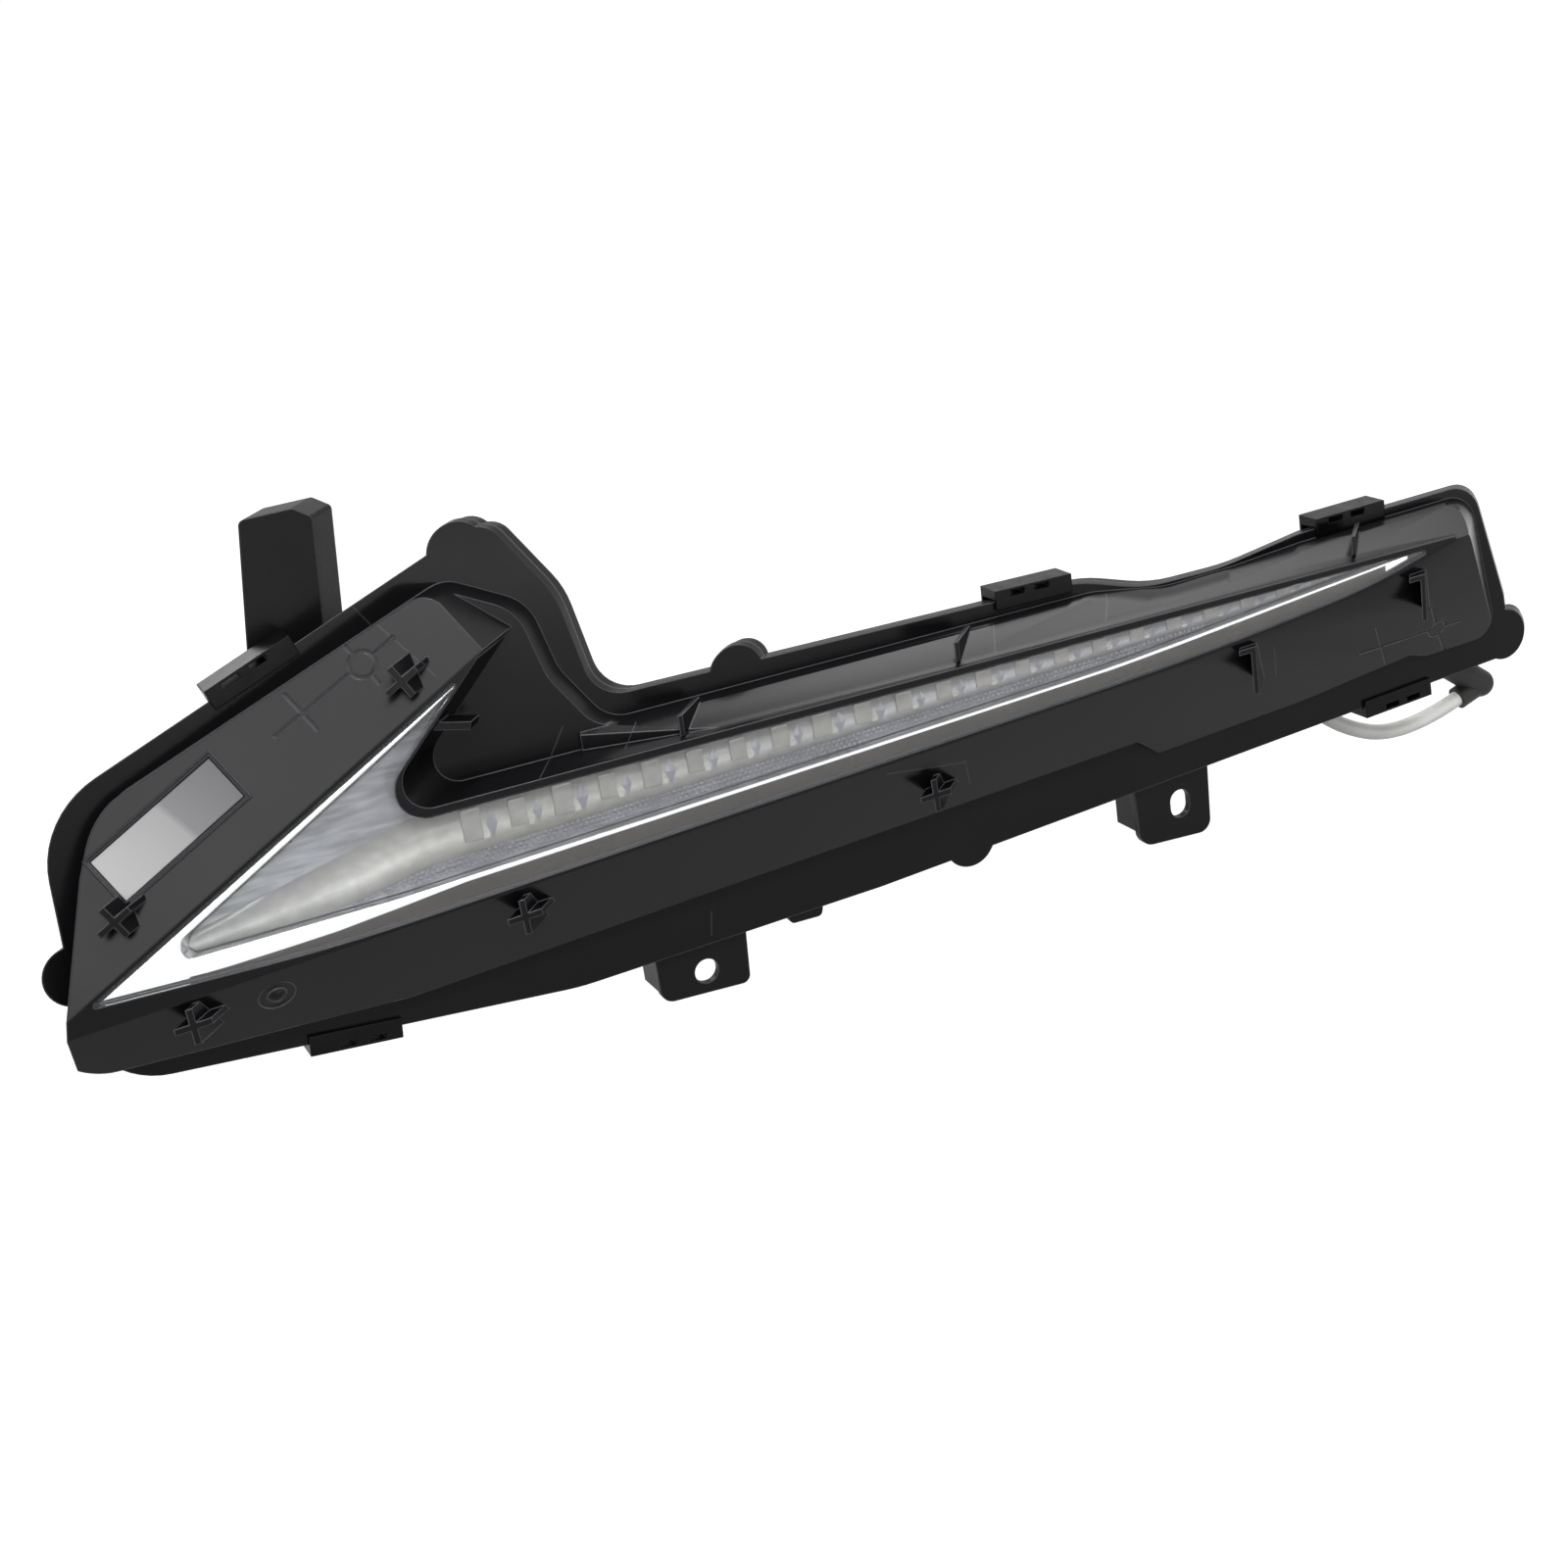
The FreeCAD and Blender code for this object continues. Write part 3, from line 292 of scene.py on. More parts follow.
# Painted reflection: a darker, brownish grey metallic facet under the bright one, softer in gloss, standing for
# the face that reflects the dark surround
darkReflectionChrome, tree, shader = newMaterial("paintedDarkReflectionChrome", "#7d7670", 0.25, Metallic=1.0)
addSurface(tree, shader, {"grain": 0.012, "strength": 0.08, "cloud": 0.035, "glossLow": 0.2, "glossHigh": 0.32,
                          "colours": ("#12100e", "#332e2a")})

# Shades along the lamp: painted reflection, lighter near the left end and greyer to the right; mottled by the
# prisms behind the face, streaked, and, where given, with a painted highlight along the crown
opticSettings = {"mottle": 0.0045, "streak": 0.0016, "start": -0.17, "end": 0.29, "lean": 0.0, "drawn": 1.0,
                 "dim": 0.88, "lift": 1.06, "relief": 0.06, "reliefDepth": 0.0008, "mottleReach": 0.8,
                 "mottleLight": 1.05, "mottleDark": 0.82,
                 "shades": ((0.0, "#868786"), (0.12, "#9c9c99"), (0.24, "#868680"), (0.55, "#828284"),
                            (1.0, "#76767d"))}


def addOptic(tree, shader, s):
    where = addNode(tree, "ShaderNodeTexCoord").outputs["Object"]
    parts = addNode(tree, "ShaderNodeSeparateXYZ", {"Vector": where})
    along = addNode(tree, "ShaderNodeMapRange", {"Value": parts.outputs["X"], "From Min": s["start"],
                                                 "From Max": s["end"]})
    ramp = addNode(tree, "ShaderNodeValToRGB", {"Fac": along.outputs[0]})
    fillRamp(ramp, [(place, linear(colour)) for place, colour in s["shades"]])
    mottle = addNode(tree, "ShaderNodeTexVoronoi", {"Vector": where, "Scale": 1 / s["mottle"],
                                                    "Randomness": 1.0})
    drawnOut = addNode(tree, "ShaderNodeMapping", {"Vector": where, "Rotation": (0, s["lean"], 0),
                                                   "Scale": (s["drawn"], 1, 1)})
    cloud = addNode(tree, "ShaderNodeTexNoise", {"Vector": drawnOut.outputs[0], "Scale": 1 / s["streak"],
                                                 "Detail": 3.0})
    shade = addNode(tree, "ShaderNodeMapRange", {"Value": mottle.outputs["Distance"], "From Max": s["mottleReach"],
                                                 "To Min": s["mottleLight"], "To Max": s["mottleDark"]})
    speck = addNode(tree, "ShaderNodeMapRange", {"Value": cloud.outputs["Fac"], "From Min": noiseRange[0],
                                                 "From Max": noiseRange[1], "To Min": s["dim"],
                                                 "To Max": s["lift"]})
    depth = addNode(tree, "ShaderNodeMath", {0: shade.outputs[0], 1: speck.outputs[0]}, operation="MULTIPLY")
    # Painted highlight: brighter along the middle of the crowned bar, read from its across attribute
    if "crownHighlight" in s:
        level = addNode(tree, "ShaderNodeAttribute", attribute_name="across")
        shape = addNode(tree, "ShaderNodeValToRGB", {"Fac": level.outputs["Fac"]})
        fillRamp(shape, [(place, (amount, amount, amount, 1)) for place, amount in s["crownHighlight"]])
        depth = addNode(tree, "ShaderNodeMath", {0: depth.outputs[0], 1: shape.outputs["Color"]},
                        operation="MULTIPLY")
    tone = addNode(tree, "ShaderNodeVectorMath", {0: ramp.outputs["Color"], "Scale": depth.outputs[0]},
                   operation="SCALE")
    tree.links.new(tone.outputs[0], shader.inputs["Base Color"])
    bump = addNode(tree, "ShaderNodeBump", {"Height": mottle.outputs["Distance"], "Strength": s["relief"],
                                            "Distance": s["reliefDepth"]})
    tree.links.new(bump.outputs[0], shader.inputs["Normal"])


# Moulded acrylic optic, with painted reflection: lighter at the round end and greyer along the bar, and a painted
# highlight along its crown
opticAcrylic, tree, shader = newMaterial("mouldedAcrylicOptic", "#9a9b9c", 0.16, Specular_IOR_Level=0.25)
addOptic(tree, shader, {**opticSettings, "crownHighlight": ((0.0, 0.34), (0.22, 0.62), (0.4, 1.0), (0.62, 0.55),
                                                   (1.0, 0.3))})

# The plate behind the bar, seen in the short arm: blue-grey and darker towards the right, streaked lighter along
# its prism lines as painted glints
backOptic, tree, shader = newMaterial("prismaticAcrylicPlate", "#6f7073", 0.18)
addOptic(tree, shader, {**opticSettings, "mottle": 0.006, "lean": 0.9, "drawn": 0.12, "dim": 0.6, "lift": 1.5,
                        "shades": ((0.0, "#6a6d71"), (0.14, "#58595e"), (0.3, "#4b4c51"), (1.0, "#37373c"))})

# Pillow cells over the LEDs: warm grey acrylic, with a hint of the phosphor behind
cellAcrylic, tree, shader = newMaterial("pillowCellAcrylic", "#d8d0ba", 0.1)
addOptic(tree, shader, {**opticSettings, "mottle": 0.003, "streak": 0.004,
                        "shades": ((0.0, "#686766"), (0.36, "#605f5c"), (0.6, "#64625f"), (1.0, "#5c5b5a"))})

# Knurled strip: grey acrylic cut into small pyramids
knurlAcrylic, tree, shader = newMaterial("knurledGreyAcrylic", "#5a5a60", 0.2)
addSurface(tree, shader, {"grain": 0.004, "strength": 0.1, "cloud": 0.02, "glossLow": 0.14, "glossHigh": 0.26,
                          "colours": ("#404047", "#65656d")})

# Painted glint on each cell: pale polished acrylic, paler than the cell
glintAcrylic, tree, shader = newMaterial("paintedGlintAcrylic", "#c9c8c2", 0.08)
addSurface(tree, shader, {"grain": 0.002, "strength": 0.1, "cloud": 0.004, "glossLow": 0.05, "glossHigh": 0.15,
                          "colours": ("#5e5d59", "#8c8b86")})

# Metallised reflector: bright, slightly orange-peeled
brightReflector, tree, shader = newMaterial("metallisedReflector", "#d4d5d7", 0.3, Metallic=1.0)
addSurface(tree, shader, {"grain": 0.003, "strength": 0.1, "cloud": 0.02, "glossLow": 0.22, "glossHigh": 0.36})

# LED phosphor: dull yellow, finely speckled
ledPhosphor, tree, shader = newMaterial("ledPhosphor", "#e6cf7a", 0.4)
addSurface(tree, shader, {"grain": 0.0006, "strength": 0.2, "cloud": 0.002, "glossLow": 0.35, "glossHigh": 0.5,
                          "colours": ("#dcc268", "#eed98c")})

# White solder mask of the LED board: smooth lacquer with a slight orange peel
whiteMask, tree, shader = newMaterial("whiteSolderMask", "#e8e8e2", 0.45)
addSurface(tree, shader, {"grain": 0.0015, "strength": 0.08, "cloud": 0.03, "glossLow": 0.38, "glossHigh": 0.5,
                          "colours": ("#e2e2dc", "#ecece7")})

# Green solder mask of the driver board: the same lacquer, dark and a little glossier
boardGreen, tree, shader = newMaterial("greenSolderMask", "#1f4a33", 0.4)
addSurface(tree, shader, {"grain": 0.0015, "strength": 0.08, "cloud": 0.02, "glossLow": 0.32, "glossHigh": 0.44,
                          "colours": ("#1b432e", "#245439")})

# Rolled aluminium: soft metal sheen with a fine grain
aluminium, tree, shader = newMaterial("rolledAluminium", "#b9bbbd", 0.38, Metallic=1.0)
addSurface(tree, shader, {"grain": 0.001, "strength": 0.12, "cloud": 0.015, "glossLow": 0.3, "glossHigh": 0.46,
                          "colours": ("#aeb0b2", "#c2c4c6")})

# Die-cast aluminium: greyer, with the cloudy skin of a casting
castAluminium, tree, shader = newMaterial("dieCastAluminium", "#a3a5a7", 0.48, Metallic=1.0)
addSurface(tree, shader, {"grain": 0.0012, "strength": 0.3, "cloud": 0.012, "glossLow": 0.38, "glossHigh": 0.6,
                          "colours": ("#8f9193", "#b2b4b6")})

# Zinc-plated steel: pale with a cool, spangled sheen
zincSteel, tree, shader = newMaterial("zincPlatedSteel", "#b4b6b8", 0.3, Metallic=1.0)
addSurface(tree, shader, {"grain": 0.0008, "strength": 0.12, "cloud": 0.003, "glossLow": 0.2, "glossHigh": 0.4,
                          "colours": ("#a5a8ab", "#c4c5c4")})

# Butyl sealant: dull and a little lumpy
sealant, tree, shader = newMaterial("butylSealant", "#151515", 0.7)
addSurface(tree, shader, {"grain": 0.002, "strength": 0.4, "cloud": 0.01, "glossLow": 0.6, "glossHigh": 0.8})

# Moulded EPDM rubber: matt with a dusty bloom
rubber, tree, shader = newMaterial("mouldedEpdmRubber", "#121212", 0.6, Specular_IOR_Level=0.35)
addSurface(tree, shader, {"grain": 0.001, "strength": 0.2, "cloud": 0.008, "glossLow": 0.5, "glossHigh": 0.68,
                          "colours": ("#0e0e0e", "#181817")})

# Moulded black nylon: satin, with a cloudy gloss
nylon, tree, shader = newMaterial("mouldedBlackNylon", "#101010", 0.45)
addSurface(tree, shader, {"grain": 0.001, "strength": 0.12, "cloud": 0.01, "glossLow": 0.36, "glossHigh": 0.5,
                          "colours": ("#0c0c0c", "#141414")})

# Spring steel with a black coat: smooth and slightly glossy
springSteel, tree, shader = newMaterial("blackCoatedSpringSteel", "#070707", 0.35, Specular_IOR_Level=0.1)
addSurface(tree, shader, {"grain": 0.0012, "strength": 0.1, "cloud": 0.006, "glossLow": 0.26, "glossHigh": 0.42,
                          "edge": 0.0006, "colours": ("#030303", "#070707")})

# Extruded grey PVC: soft satin jacket with fine lengthwise unevenness
greyPvc, tree, shader = newMaterial("extrudedGreyPvc", "#c6c6c3", 0.42)
addSurface(tree, shader, {"grain": 0.0015, "strength": 0.12, "cloud": 0.012, "glossLow": 0.34, "glossHigh": 0.5,
                          "colours": ("#bebebc", "#dededa")})

# Bare grey plate: smooth plastic; painted reflection makes it pale at its lower left and darker towards the upper
# right, stepping darker past the middle
plateReflectionSettings = {"along": (0.8, 0.0, 0.6), "shades": ((0.0, "#979797"), (0.55, "#7d7d7e"),
                                                          (0.6, "#5e5e61"), (1.0, "#434346"))}
plateGrey, tree, shader = newMaterial("smoothGreyPlate", "#8c8d90", 0.2, Specular_IOR_Level=0.2)
addSurface(tree, shader, {"grain": 0.006, "strength": 0.05, "cloud": 0.02, "glossLow": 0.16, "glossHigh": 0.26})
where = addNode(tree, "ShaderNodeTexCoord")
lengthwise = addNode(tree, "ShaderNodeVectorMath", {0: where.outputs["Object"], 1: plateReflectionSettings["along"]},
                     operation="DOT_PRODUCT")
reaches = [v.co.dot(Vector(plateReflectionSettings["along"])) for v in nodes["marking_panel"].data.vertices]
place = addNode(tree, "ShaderNodeMapRange", {"Value": lengthwise.outputs["Value"], "From Min": min(reaches),
                                             "From Max": max(reaches)})
ramp = addNode(tree, "ShaderNodeValToRGB", {"Fac": place.outputs[0]})
fillRamp(ramp, [(spot, linear(colour)) for spot, colour in plateReflectionSettings["shades"]])
tree.links.new(ramp.outputs["Color"], shader.inputs["Base Color"])

finishes = {
    "front_cover": satinBlack, "outer_lens": clearAcrylic, "marking_panel": plateGrey, "chrome_bezel": chrome,
    "inner_lens": backOptic, "led_reflector": brightReflector, "leds": ledPhosphor, "led_board": whiteMask,
    "heat_sink": aluminium, "seal_bead": sealant, "rear_housing": dullBlack, "rear_screws": zincSteel,
    "edge_clips": springSteel, "driver_gasket": rubber, "driver_case": castAluminium, "driver_board": boardGreen,
    "driver_screws": zincSteel, "driver_plug": nylon, "cable_boot": rubber, "lead_cable": greyPvc,
    "breather_cap": nylon,
}
for name, finish in finishes.items():
    data = nodes[name].data
    data.materials.clear()
    data.materials.append(finish)
print("materials made", len(bpy.data.materials))

# Angles in degrees: faces flatter than flat are merged, and edges sharper than sharp are rounded
roundSettings = {"weld": 2e-6, "flat": 0.6, "sharp": 28, "segments": 2, "crease": 50, "weight": 90}


# A moulded piece with its edges rounded over, standing in for the sharp CAD solid
def roundOver(node, name, radius, s):
    mesh = bpy.data.meshes.new(name)
    bm = bmesh.new()
    bm.from_mesh(nodes[node].data)
    bmesh.ops.remove_doubles(bm, verts=bm.verts, dist=s["weld"])
    bmesh.ops.dissolve_limit(bm, angle_limit=math.radians(s["flat"]), verts=bm.verts, edges=bm.edges)
    sharp = [e for e in bm.edges if len(e.link_faces) == 2 and e.calc_face_angle(0) > math.radians(s["sharp"])]
    bmesh.ops.bevel(bm, geom=sharp, offset=radius, offset_type="OFFSET", segments=s["segments"], profile=0.5,
                    affect="EDGES", clamp_overlap=True, loop_slide=True)
    for face in bm.faces:
        face.smooth = True
    bm.to_mesh(mesh)
    bm.free()
    mesh.set_sharp_from_angle(angle=math.radians(s["crease"]))
    mesh.materials.append(finishes[node])
    piece = link(bpy.data.objects.new(name, mesh))
    settle = piece.modifiers.new("flatFaces", "WEIGHTED_NORMAL")
    settle.keep_sharp = True
    settle.weight = s["weight"]
    made = bpy.data.meshes.new_from_object(piece.evaluated_get(bpy.context.evaluated_depsgraph_get()))
    piece.modifiers.clear()
    piece.data = made
    made.name = name
    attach(piece, "root")
    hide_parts(node)
    print(name, len(mesh.polygons), "faces")


# Edge radii in metres: the drawn radius of each moulded or pressed piece
edgeRadii = {
    "front_cover": ("coverShell", 0.00045), "rear_housing": ("housingShell", 0.0004),
    "chrome_bezel": ("brightBezel", 0.0009), "edge_clips": ("springClips", 0.00025),
    "driver_case": ("driverCasting", 0.0006), "driver_plug": ("driverPlugBody", 0.0004),
    "cable_boot": ("cableBootBody", 0.0005), "breather_cap": ("breatherBody", 0.0003),
    "marking_panel": ("barePlate", 0.0004), "driver_gasket": ("gasketRing", 0.0003),
}
for node, (name, radius) in edgeRadii.items():
    roundOver(node, name, radius, roundSettings)
print("edges rounded on", len(edgeRadii), "pieces")

# Raised bead around the bare plate, from the plate's own front face
beadSettings = {"gap": 0.0009, "wide": 0.0009, "proud": 0.0005, "sunk": 0.0006, "round": 0.0002}


def addBead(s):
    plate = nodes["marking_panel"].data
    front = max((f for f in plate.polygons if f.normal.y < -0.3), key=lambda f: f.area)
    normal = front.normal.copy()
    corners = [plate.vertices[i].co for f in plate.polygons if f.normal.dot(normal) > 0.999 for i in f.vertices]
    middle = sum(corners, Vector()) / len(corners)
    spans = sorted((a - b for i, a in enumerate(corners) for b in corners[:i]), key=lambda d: d.length,
                   reverse=True)
    longest = spans[0].length
    side = next(d for d in spans if 0.5 * longest < d.length < 0.999 * longest).normalized()
    across = normal.cross(side)
    ends = [max(abs((c - middle).dot(axis)) for c in corners) for axis in (side, across)]
    loops = []
    for out, lift in ((s["gap"], -s["sunk"]), (s["gap"], s["proud"]), (s["gap"] + s["wide"], s["proud"]),
                      (s["gap"] + s["wide"], -s["sunk"])):
        loops.append([middle + side * (a * (ends[0] + out)) + across * (b * (ends[1] + out)) + normal * lift
                      for a, b in ((-1, -1), (1, -1), (1, 1), (-1, 1))])
    points = [p for loop in loops for p in loop]
    faces = []
    for ring in range(4):
        for k in range(4):
            a, b = ring * 4 + k, ring * 4 + (k + 1) % 4
            faces.append((a, b, (b + 4) % 16, (a + 4) % 16))
    mesh = bpy.data.meshes.new("plateBead")
    mesh.from_pydata(points, [], faces)
    bm = bmesh.new()
    bm.from_mesh(mesh)
    bmesh.ops.recalc_face_normals(bm, faces=bm.faces)
    bmesh.ops.bevel(bm, geom=bm.edges[:], offset=s["round"], segments=2, profile=0.5, affect="EDGES",
                    clamp_overlap=True)
    bm.to_mesh(mesh)
    bm.free()
    mesh.materials.append(satinBlack)
    bead = link(bpy.data.objects.new("plateBead", mesh))
    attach(bead, "root")


addBead(beadSettings)
print("plate bead made")

# Lens interior: straight lines across the opening, each a level, the place where it has that level, and its slope
# All in millimetres of the leaning frame
openingLines = ((68.9, -80, -0.0058), (68.9, -80, 0.0313), (77.2, 185, 0.0787))
bezelLines = ((60.7, -100, -0.0424), (60.7, -100, 0.0381), (72.7, 215, 0.0929))
knurlLine = (76.9, 0, 0.022)
barTop = {"split": -72, "short": (75.4, -149, 0.222), "long": (93.0, -82.5, -0.0156)}
barFoot = {"gap": 0.5, "riseFrom": -112, "riseOver": 50}


def lineLevel(line, x):
    level, at, slope = line
    return level + slope * (x - at)


def openingLow(x):
    return max(lineLevel(line, x) for line in openingLines)


def barHigh(x):
    return lineLevel(barTop["short"] if x < barTop["split"] else barTop["long"], x)


# The bar's lower edge follows the opening at the left and eases up to the knurled strip
def barLow(x):
    rise = min(max((x - barFoot["riseFrom"]) / barFoot["riseOver"], 0), 1)
    rise = rise * rise * (3 - 2 * rise)
    edge = openingLow(x) + barFoot["gap"]
    return edge + (max(lineLevel(knurlLine, x), edge) - edge) * rise


# How far a crowned front stands out at its middle: less where the strip is narrow
def crownRise(s, low, high):
    return min(s["crown"], s["crownShare"] * (high - low))


# A long piece with a crowned front and a flat back, lofted through its stations
def loftStrip(name, stations, s, finish):
    back, steps = s["back"], s["steps"]
    ring = 2 * (steps + 1)
    points = []
    for x, low, high in stations:
        rise = crownRise(s, low, high)
        for k in range(steps + 1):
            u = 2 * k / steps - 1
            points.append(drawn(x, back - s["base"] - rise * (1 - u * u), low + (high - low) * (u + 1) / 2))
        for k in range(steps + 1):
            points.append(drawn(x, back, high + (low - high) * k / steps))
    faces = []
    for i in range(len(stations) - 1):
        for k in range(ring):
            a = i * ring + k
            b = i * ring + (k + 1) % ring
            faces.append((a, a + ring, b + ring, b))
    faces.append(tuple(range(ring)))
    faces.append(tuple(reversed(range((len(stations) - 1) * ring, len(stations) * ring))))
    mesh = bpy.data.meshes.new(name)
    mesh.from_pydata(points, [], faces)
    mesh.materials.append(finish)
    across = mesh.attributes.new("across", "FLOAT", "POINT")
    for i, item in enumerate(across.data):
        item.value = (i % ring) / steps if i % ring <= steps else 0.0
    bm = bmesh.new()
    bm.from_mesh(mesh)
    bmesh.ops.recalc_face_normals(bm, faces=bm.faces)
    for face in bm.faces:
        face.smooth = True
    bm.to_mesh(mesh)
    bm.free()
    mesh.set_sharp_from_angle(angle=math.radians(s["crease"]))
    return link(bpy.data.objects.new(name, mesh))


# Light guide bar: rounded at its left end and crowned along its length
barSettings = {"back": -25.0, "base": 0.4, "crown": 1.7, "crownShare": 0.2, "crease": 35, "steps": 10,
               "left": -149.0, "right": 308.0, "roundEnd": 3.0, "endSteps": 8, "endLeast": 0.12,
               "spacing": 3.0, "least": 0.4}


def barStations(s):
    made = []
    for k in range(s["endSteps"]):
        lean = math.radians(90 * k / s["endSteps"])
        x = s["left"] + s["roundEnd"] * (1 - math.cos(lean))
        low, high = barLow(x), barHigh(x)
        middle, half = (low + high) / 2, (high - low) / 2 * max(math.sin(lean), s["endLeast"])
        made.append((x, middle - half, middle + half))
    x = s["left"] + s["roundEnd"]
    while x < s["right"]:
        made.append((x, barLow(x), barHigh(x)))
        x += s["spacing"]
    return [station for station in made if station[2] - station[1] > s["least"]]


bar = loftStrip("lightGuideBar", barStations(barSettings), barSettings, opticAcrylic)
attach(bar, "root")

# Painted reflection: a darker brownish metallic facet along the lower half of the bezel's lower strip, where the
# bezel would reflect the dark surround
facetSettings = {"back": -29.2, "base": 0.15, "crown": 0.15, "crownShare": 0.2, "crease": 35, "steps": 4,
                 "left": -148, "right": 306, "spacing": 6, "least": 1.6, "gap": 0.5, "share": 0.72,
                 "growOver": 90, "growLeast": 0.1}


def facetStations(s):
    made = []
    x = s["left"]
    while x <= s["right"]:
        edge = max(lineLevel(line, x) for line in bezelLines)
        room = openingLow(x) - edge
        if room > s["least"]:
            grown = min(max((x - s["left"]) / s["growOver"], s["growLeast"]), 1)
            low = edge + s["gap"]
            made.append((x, low, low + s["share"] * grown * room))
        x += s["spacing"]
    return made


facet = loftStrip("paintedReflectionFacet", facetStations(facetSettings), facetSettings, darkReflectionChrome)
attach(facet, "root")

# How a cube is softened into a pillow
pillowShape = {"Level": 3, "Edge Crease": 0.62}


# Copies of one small shape on given points, each stretched by its own amounts, as a Geometry Nodes tree
def scatter(name, places, stretches, shape, s, finish):
    mesh = bpy.data.meshes.new(name)
    mesh.from_pydata(places, [], [])
    stretch = mesh.attributes.new("stretch", "FLOAT_VECTOR", "POINT")
    for item, value in zip(stretch.data, stretches):
        item.vector = value
    piece = link(bpy.data.objects.new(name, mesh))
    group = bpy.data.node_groups.new(name + "Nodes", "GeometryNodeTree")
    group.interface.new_socket("Points", in_out="INPUT", socket_type="NodeSocketGeometry")
    for label in ("Size", "Depth", "Vary"):
        group.interface.new_socket(label, in_out="INPUT", socket_type="NodeSocketFloat")
    group.interface.new_socket("Seed", in_out="INPUT", socket_type="NodeSocketInt")
    group.interface.new_socket("Pieces", in_out="OUTPUT", socket_type="NodeSocketGeometry")
    given = addNode(group, "NodeGroupInput")
    if shape == "pyramid":
        single = addNode(group, "GeometryNodeMeshCone", {"Vertices": 4, "Radius Top": 0.0,
                                                         "Radius Bottom": given.outputs["Size"],
                                                         "Depth": given.outputs["Depth"]})
        single = single.outputs["Mesh"]
    else:
        block = addNode(group, "ShaderNodeCombineXYZ", {"X": given.outputs["Size"], "Y": given.outputs["Size"],
                                                        "Z": given.outputs["Depth"]})
        cube = addNode(group, "GeometryNodeMeshCube", {"Size": block.outputs[0]})
        soft = addNode(group, "GeometryNodeSubdivisionSurface", {"Mesh": cube.outputs["Mesh"], **pillowShape})
        smooth = addNode(group, "GeometryNodeSetShadeSmooth", {"Geometry": soft.outputs[0]})
        single = smooth.outputs[0]
    own = addNode(group, "GeometryNodeInputNamedAttribute", {"Name": "stretch"}, data_type="FLOAT_VECTOR")
    least = addNode(group, "ShaderNodeMath", {0: 1.0, 1: given.outputs["Vary"]}, operation="SUBTRACT")
    most = addNode(group, "ShaderNodeMath", {0: 1.0, 1: given.outputs["Vary"]}, operation="ADD")
    chance = addNode(group, "FunctionNodeRandomValue", {2: least.outputs[0], 3: most.outputs[0],
                                                        "Seed": given.outputs["Seed"]}, data_type="FLOAT")
    scaled = addNode(group, "ShaderNodeVectorMath", {0: own.outputs["Attribute"], "Scale": chance.outputs[1]},
                     operation="SCALE")
    copies = addNode(group, "GeometryNodeInstanceOnPoints", {"Points": given.outputs["Points"], "Instance": single,
                                                             "Rotation": s["turn"], "Scale": scaled.outputs[0]})
    real = addNode(group, "GeometryNodeRealizeInstances", {"Geometry": copies.outputs[0]})
    painted = addNode(group, "GeometryNodeSetMaterial", {"Geometry": real.outputs[0], "Material": finish})
    addNode(group, "NodeGroupOutput", {"Pieces": painted.outputs[0]})
    change = piece.modifiers.new("scatter", "NODES")
    change.node_group = group
    for item in group.interface.items_tree:
        if item.in_out == "INPUT" and item.name in s["inputs"]:
            change[item.identifier] = s["inputs"][item.name]
    made = bpy.data.meshes.new_from_object(piece.evaluated_get(bpy.context.evaluated_depsgraph_get()))
    piece.modifiers.clear()
    piece.data = made
    made.name = name
    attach(piece, "root")
    print(name, len(places), "copies", len(made.polygons), "faces")


# Turn that makes a copy face the front
faceForward = (math.radians(90), 0, 0)


def barFront(x, z):
    low, high = barLow(x), barHigh(x)
    u = 2 * (z - low) / (high - low) - 1
    return barSettings["back"] - barSettings["base"] - crownRise(barSettings, low, high) * (1 - u * u)


# Optics along the bar, one set over each LED: a warm grey pillow, a dark pyramid beside it as painted shade and a
# small pale pillow as a painted glint
cellSettings = {"first": -52.0, "pitch": 15.5, "count": 22, "leastTall": 2.4, "proud": 0.1, "turn": faceForward,
                "inputs": {"Size": 0.001, "Depth": 0.001, "Vary": 0.12, "Seed": 4}}
cellParts = {
    "pillowCells": {"shift": -2.0, "level": 0.58, "wide": 6.2, "tall": 0.62, "deep": 0.8, "shape": "pillow",
                    "finish": cellAcrylic},
    "paintedShadeWedges": {"shift": 4.6, "level": 0.5, "wide": 1.9, "tall": 0.3, "deep": 0.5, "shape": "pyramid",
                    "finish": knurlAcrylic},
    "paintedGlints": {"shift": 1.9, "level": 0.3, "wide": 2.2, "tall": 0.15, "deep": 0.7, "shape": "pillow",
                     "finish": glintAcrylic},
}
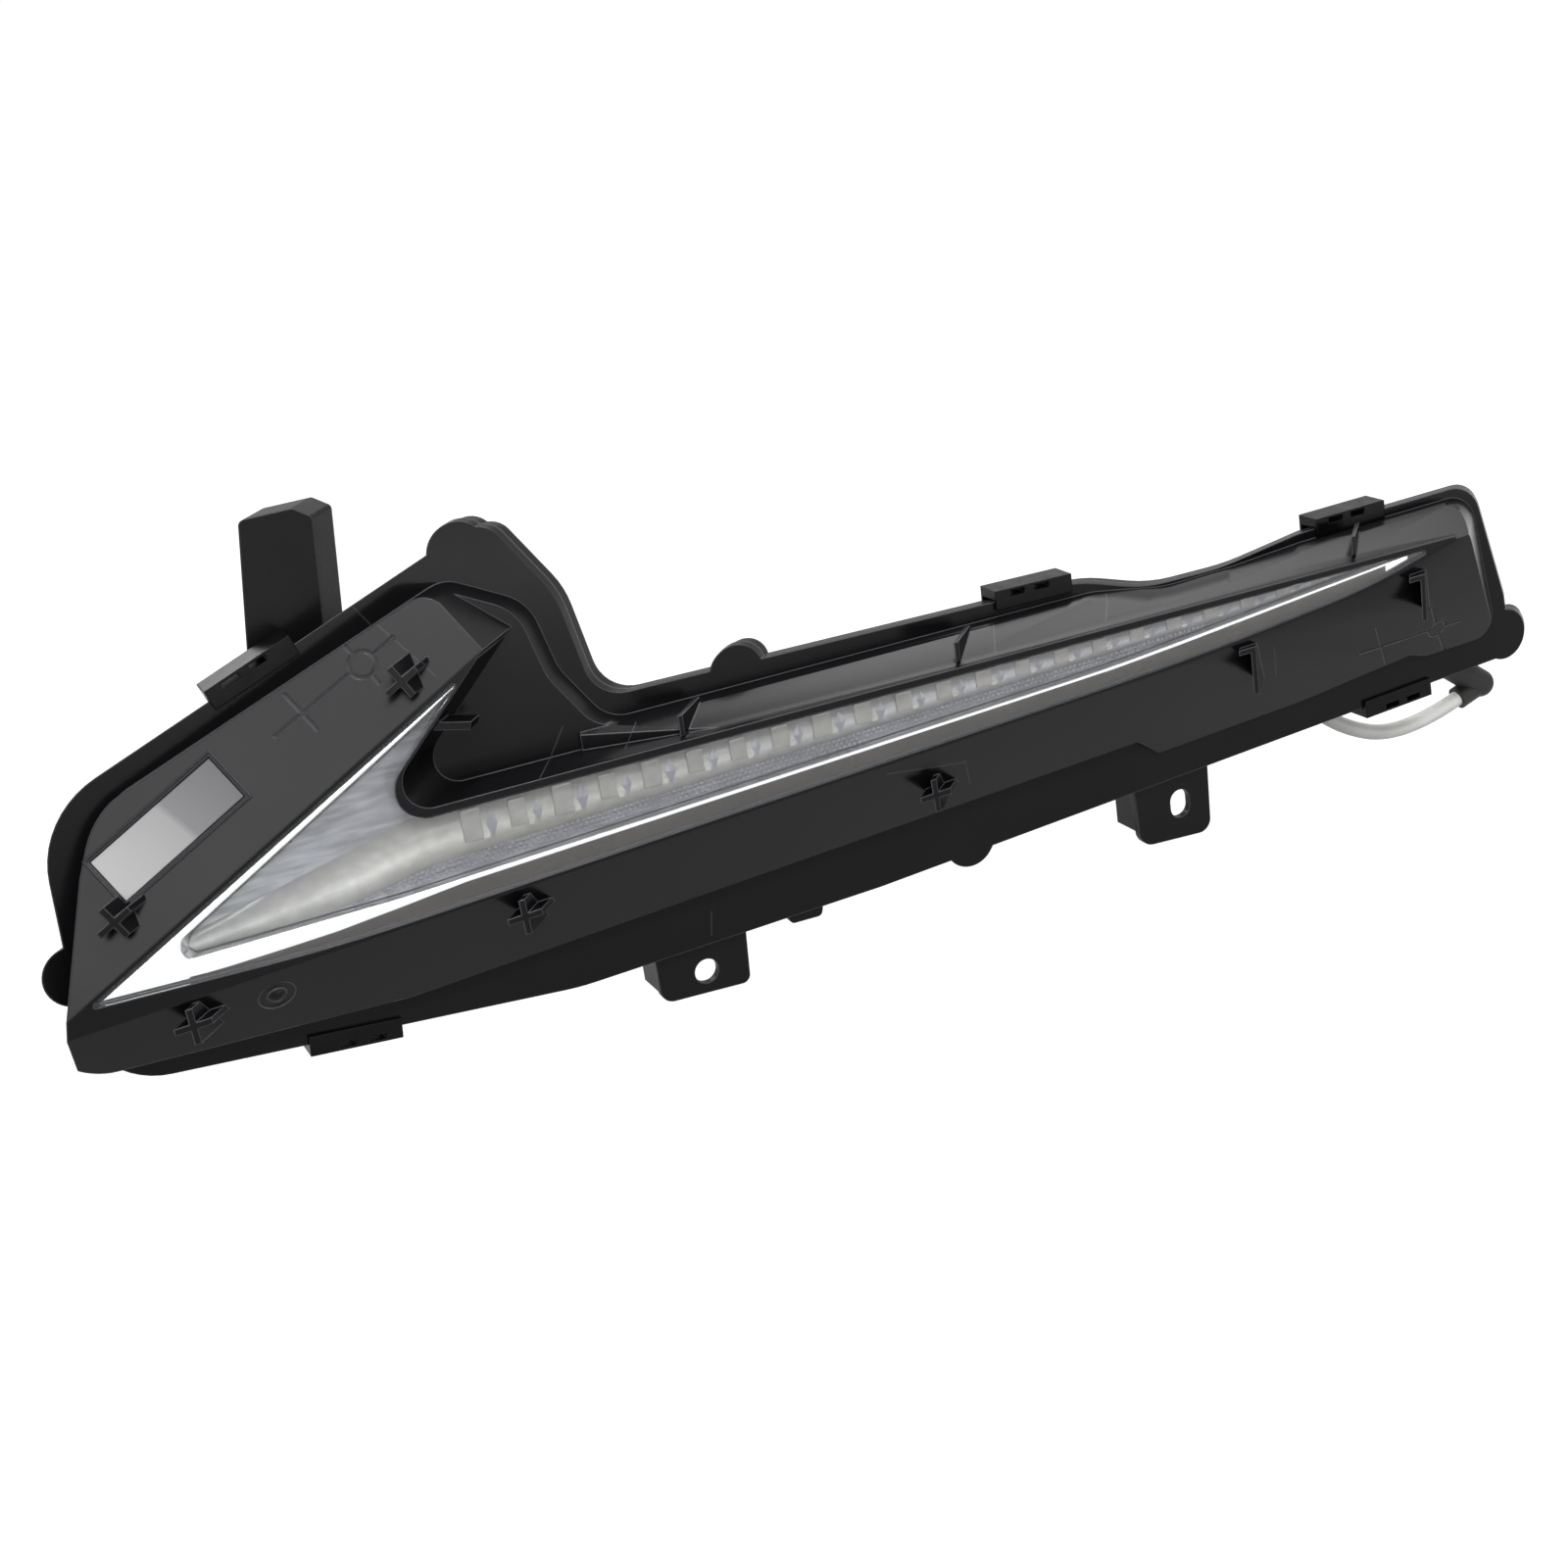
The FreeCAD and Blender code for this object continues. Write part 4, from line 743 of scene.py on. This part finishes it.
for name, part in cellParts.items():
    places = []
    stretches = []
    for i in range(cellSettings["count"]):
        x = cellSettings["first"] + cellSettings["pitch"] * i + part["shift"]
        tall = barHigh(x) - barLow(x)
        z = barLow(x) + part["level"] * tall
        if tall > cellSettings["leastTall"]:
            places.append(drawn(x, barFront(x, z) - cellSettings["proud"], z))
            stretches.append((part["wide"], part["tall"] * tall, part["deep"]))
    scatter(name, places, stretches, part["shape"], cellSettings, part["finish"])

# Knurled strip between the bar and the bezel; real dots are about 1 mm apart, drawn 1.9 mm apart so they show
knurlSettings = {"first": -106.0, "last": 262.0, "pitch": 1.9, "rowPitch": 1.5, "rows": 5,
                 "above": 0.8, "below": 0.9, "front": -25.35, "stretch": (0.95, 0.8, 0.7), "turn": faceForward,
                 "inputs": {"Size": 0.001, "Depth": 0.001, "Vary": 0.12, "Seed": 9}}
places = []
stretches = []
x = knurlSettings["first"]
while x < knurlSettings["last"]:
    for row in range(knurlSettings["rows"]):
        at = x + (row % 2) * knurlSettings["pitch"] / 2
        z = barLow(at) - knurlSettings["above"] - row * knurlSettings["rowPitch"]
        if z > openingLow(at) + knurlSettings["below"]:
            places.append(drawn(at, knurlSettings["front"], z))
            stretches.append(knurlSettings["stretch"])
    x += knurlSettings["pitch"]
scatter("knurlPyramids", places, stretches, "pyramid", knurlSettings, knurlAcrylic)
print("lens interior made")

# Jumper cable from the driver plug to the boot: the CAD route's points
cableSettings = {"diameter": 0.0062, "length": 0.143, "order": 3, "smooth": 24, "round": 6,
                 "points": [(0.217, 0.0345, 0.0485), (0.246, 0.0345, 0.0485), (0.266, 0.029, 0.031),
                            (0.284, 0.0195, 0.0075), (0.311, 0.012, -0.0018), (0.3385, 0.012, 0.0068)]}
curve = bpy.data.curves.new("greyJumperCable", "CURVE")
curve.dimensions = "3D"
spline = curve.splines.new("NURBS")
spline.points.add(len(cableSettings["points"]) - 1)
for point, place in zip(spline.points, cableSettings["points"]):
    point.co = (*place, 1.0)
spline.order_u = cableSettings["order"]
spline.use_endpoint_u = True
spline.resolution_u = cableSettings["smooth"]
curve.bevel_depth = cableSettings["diameter"] / 2
curve.bevel_resolution = cableSettings["round"]
curve.use_fill_caps = True
curve.materials.append(greyPvc)
cable = link(bpy.data.objects.new("greyJumperCable", curve))
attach(cable, "root")
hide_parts("lead_cable")
print("cable laid")

# The clear lens casts no shadow, so that light reaches the optics under it
nodes["outer_lens"].visible_shadow = False
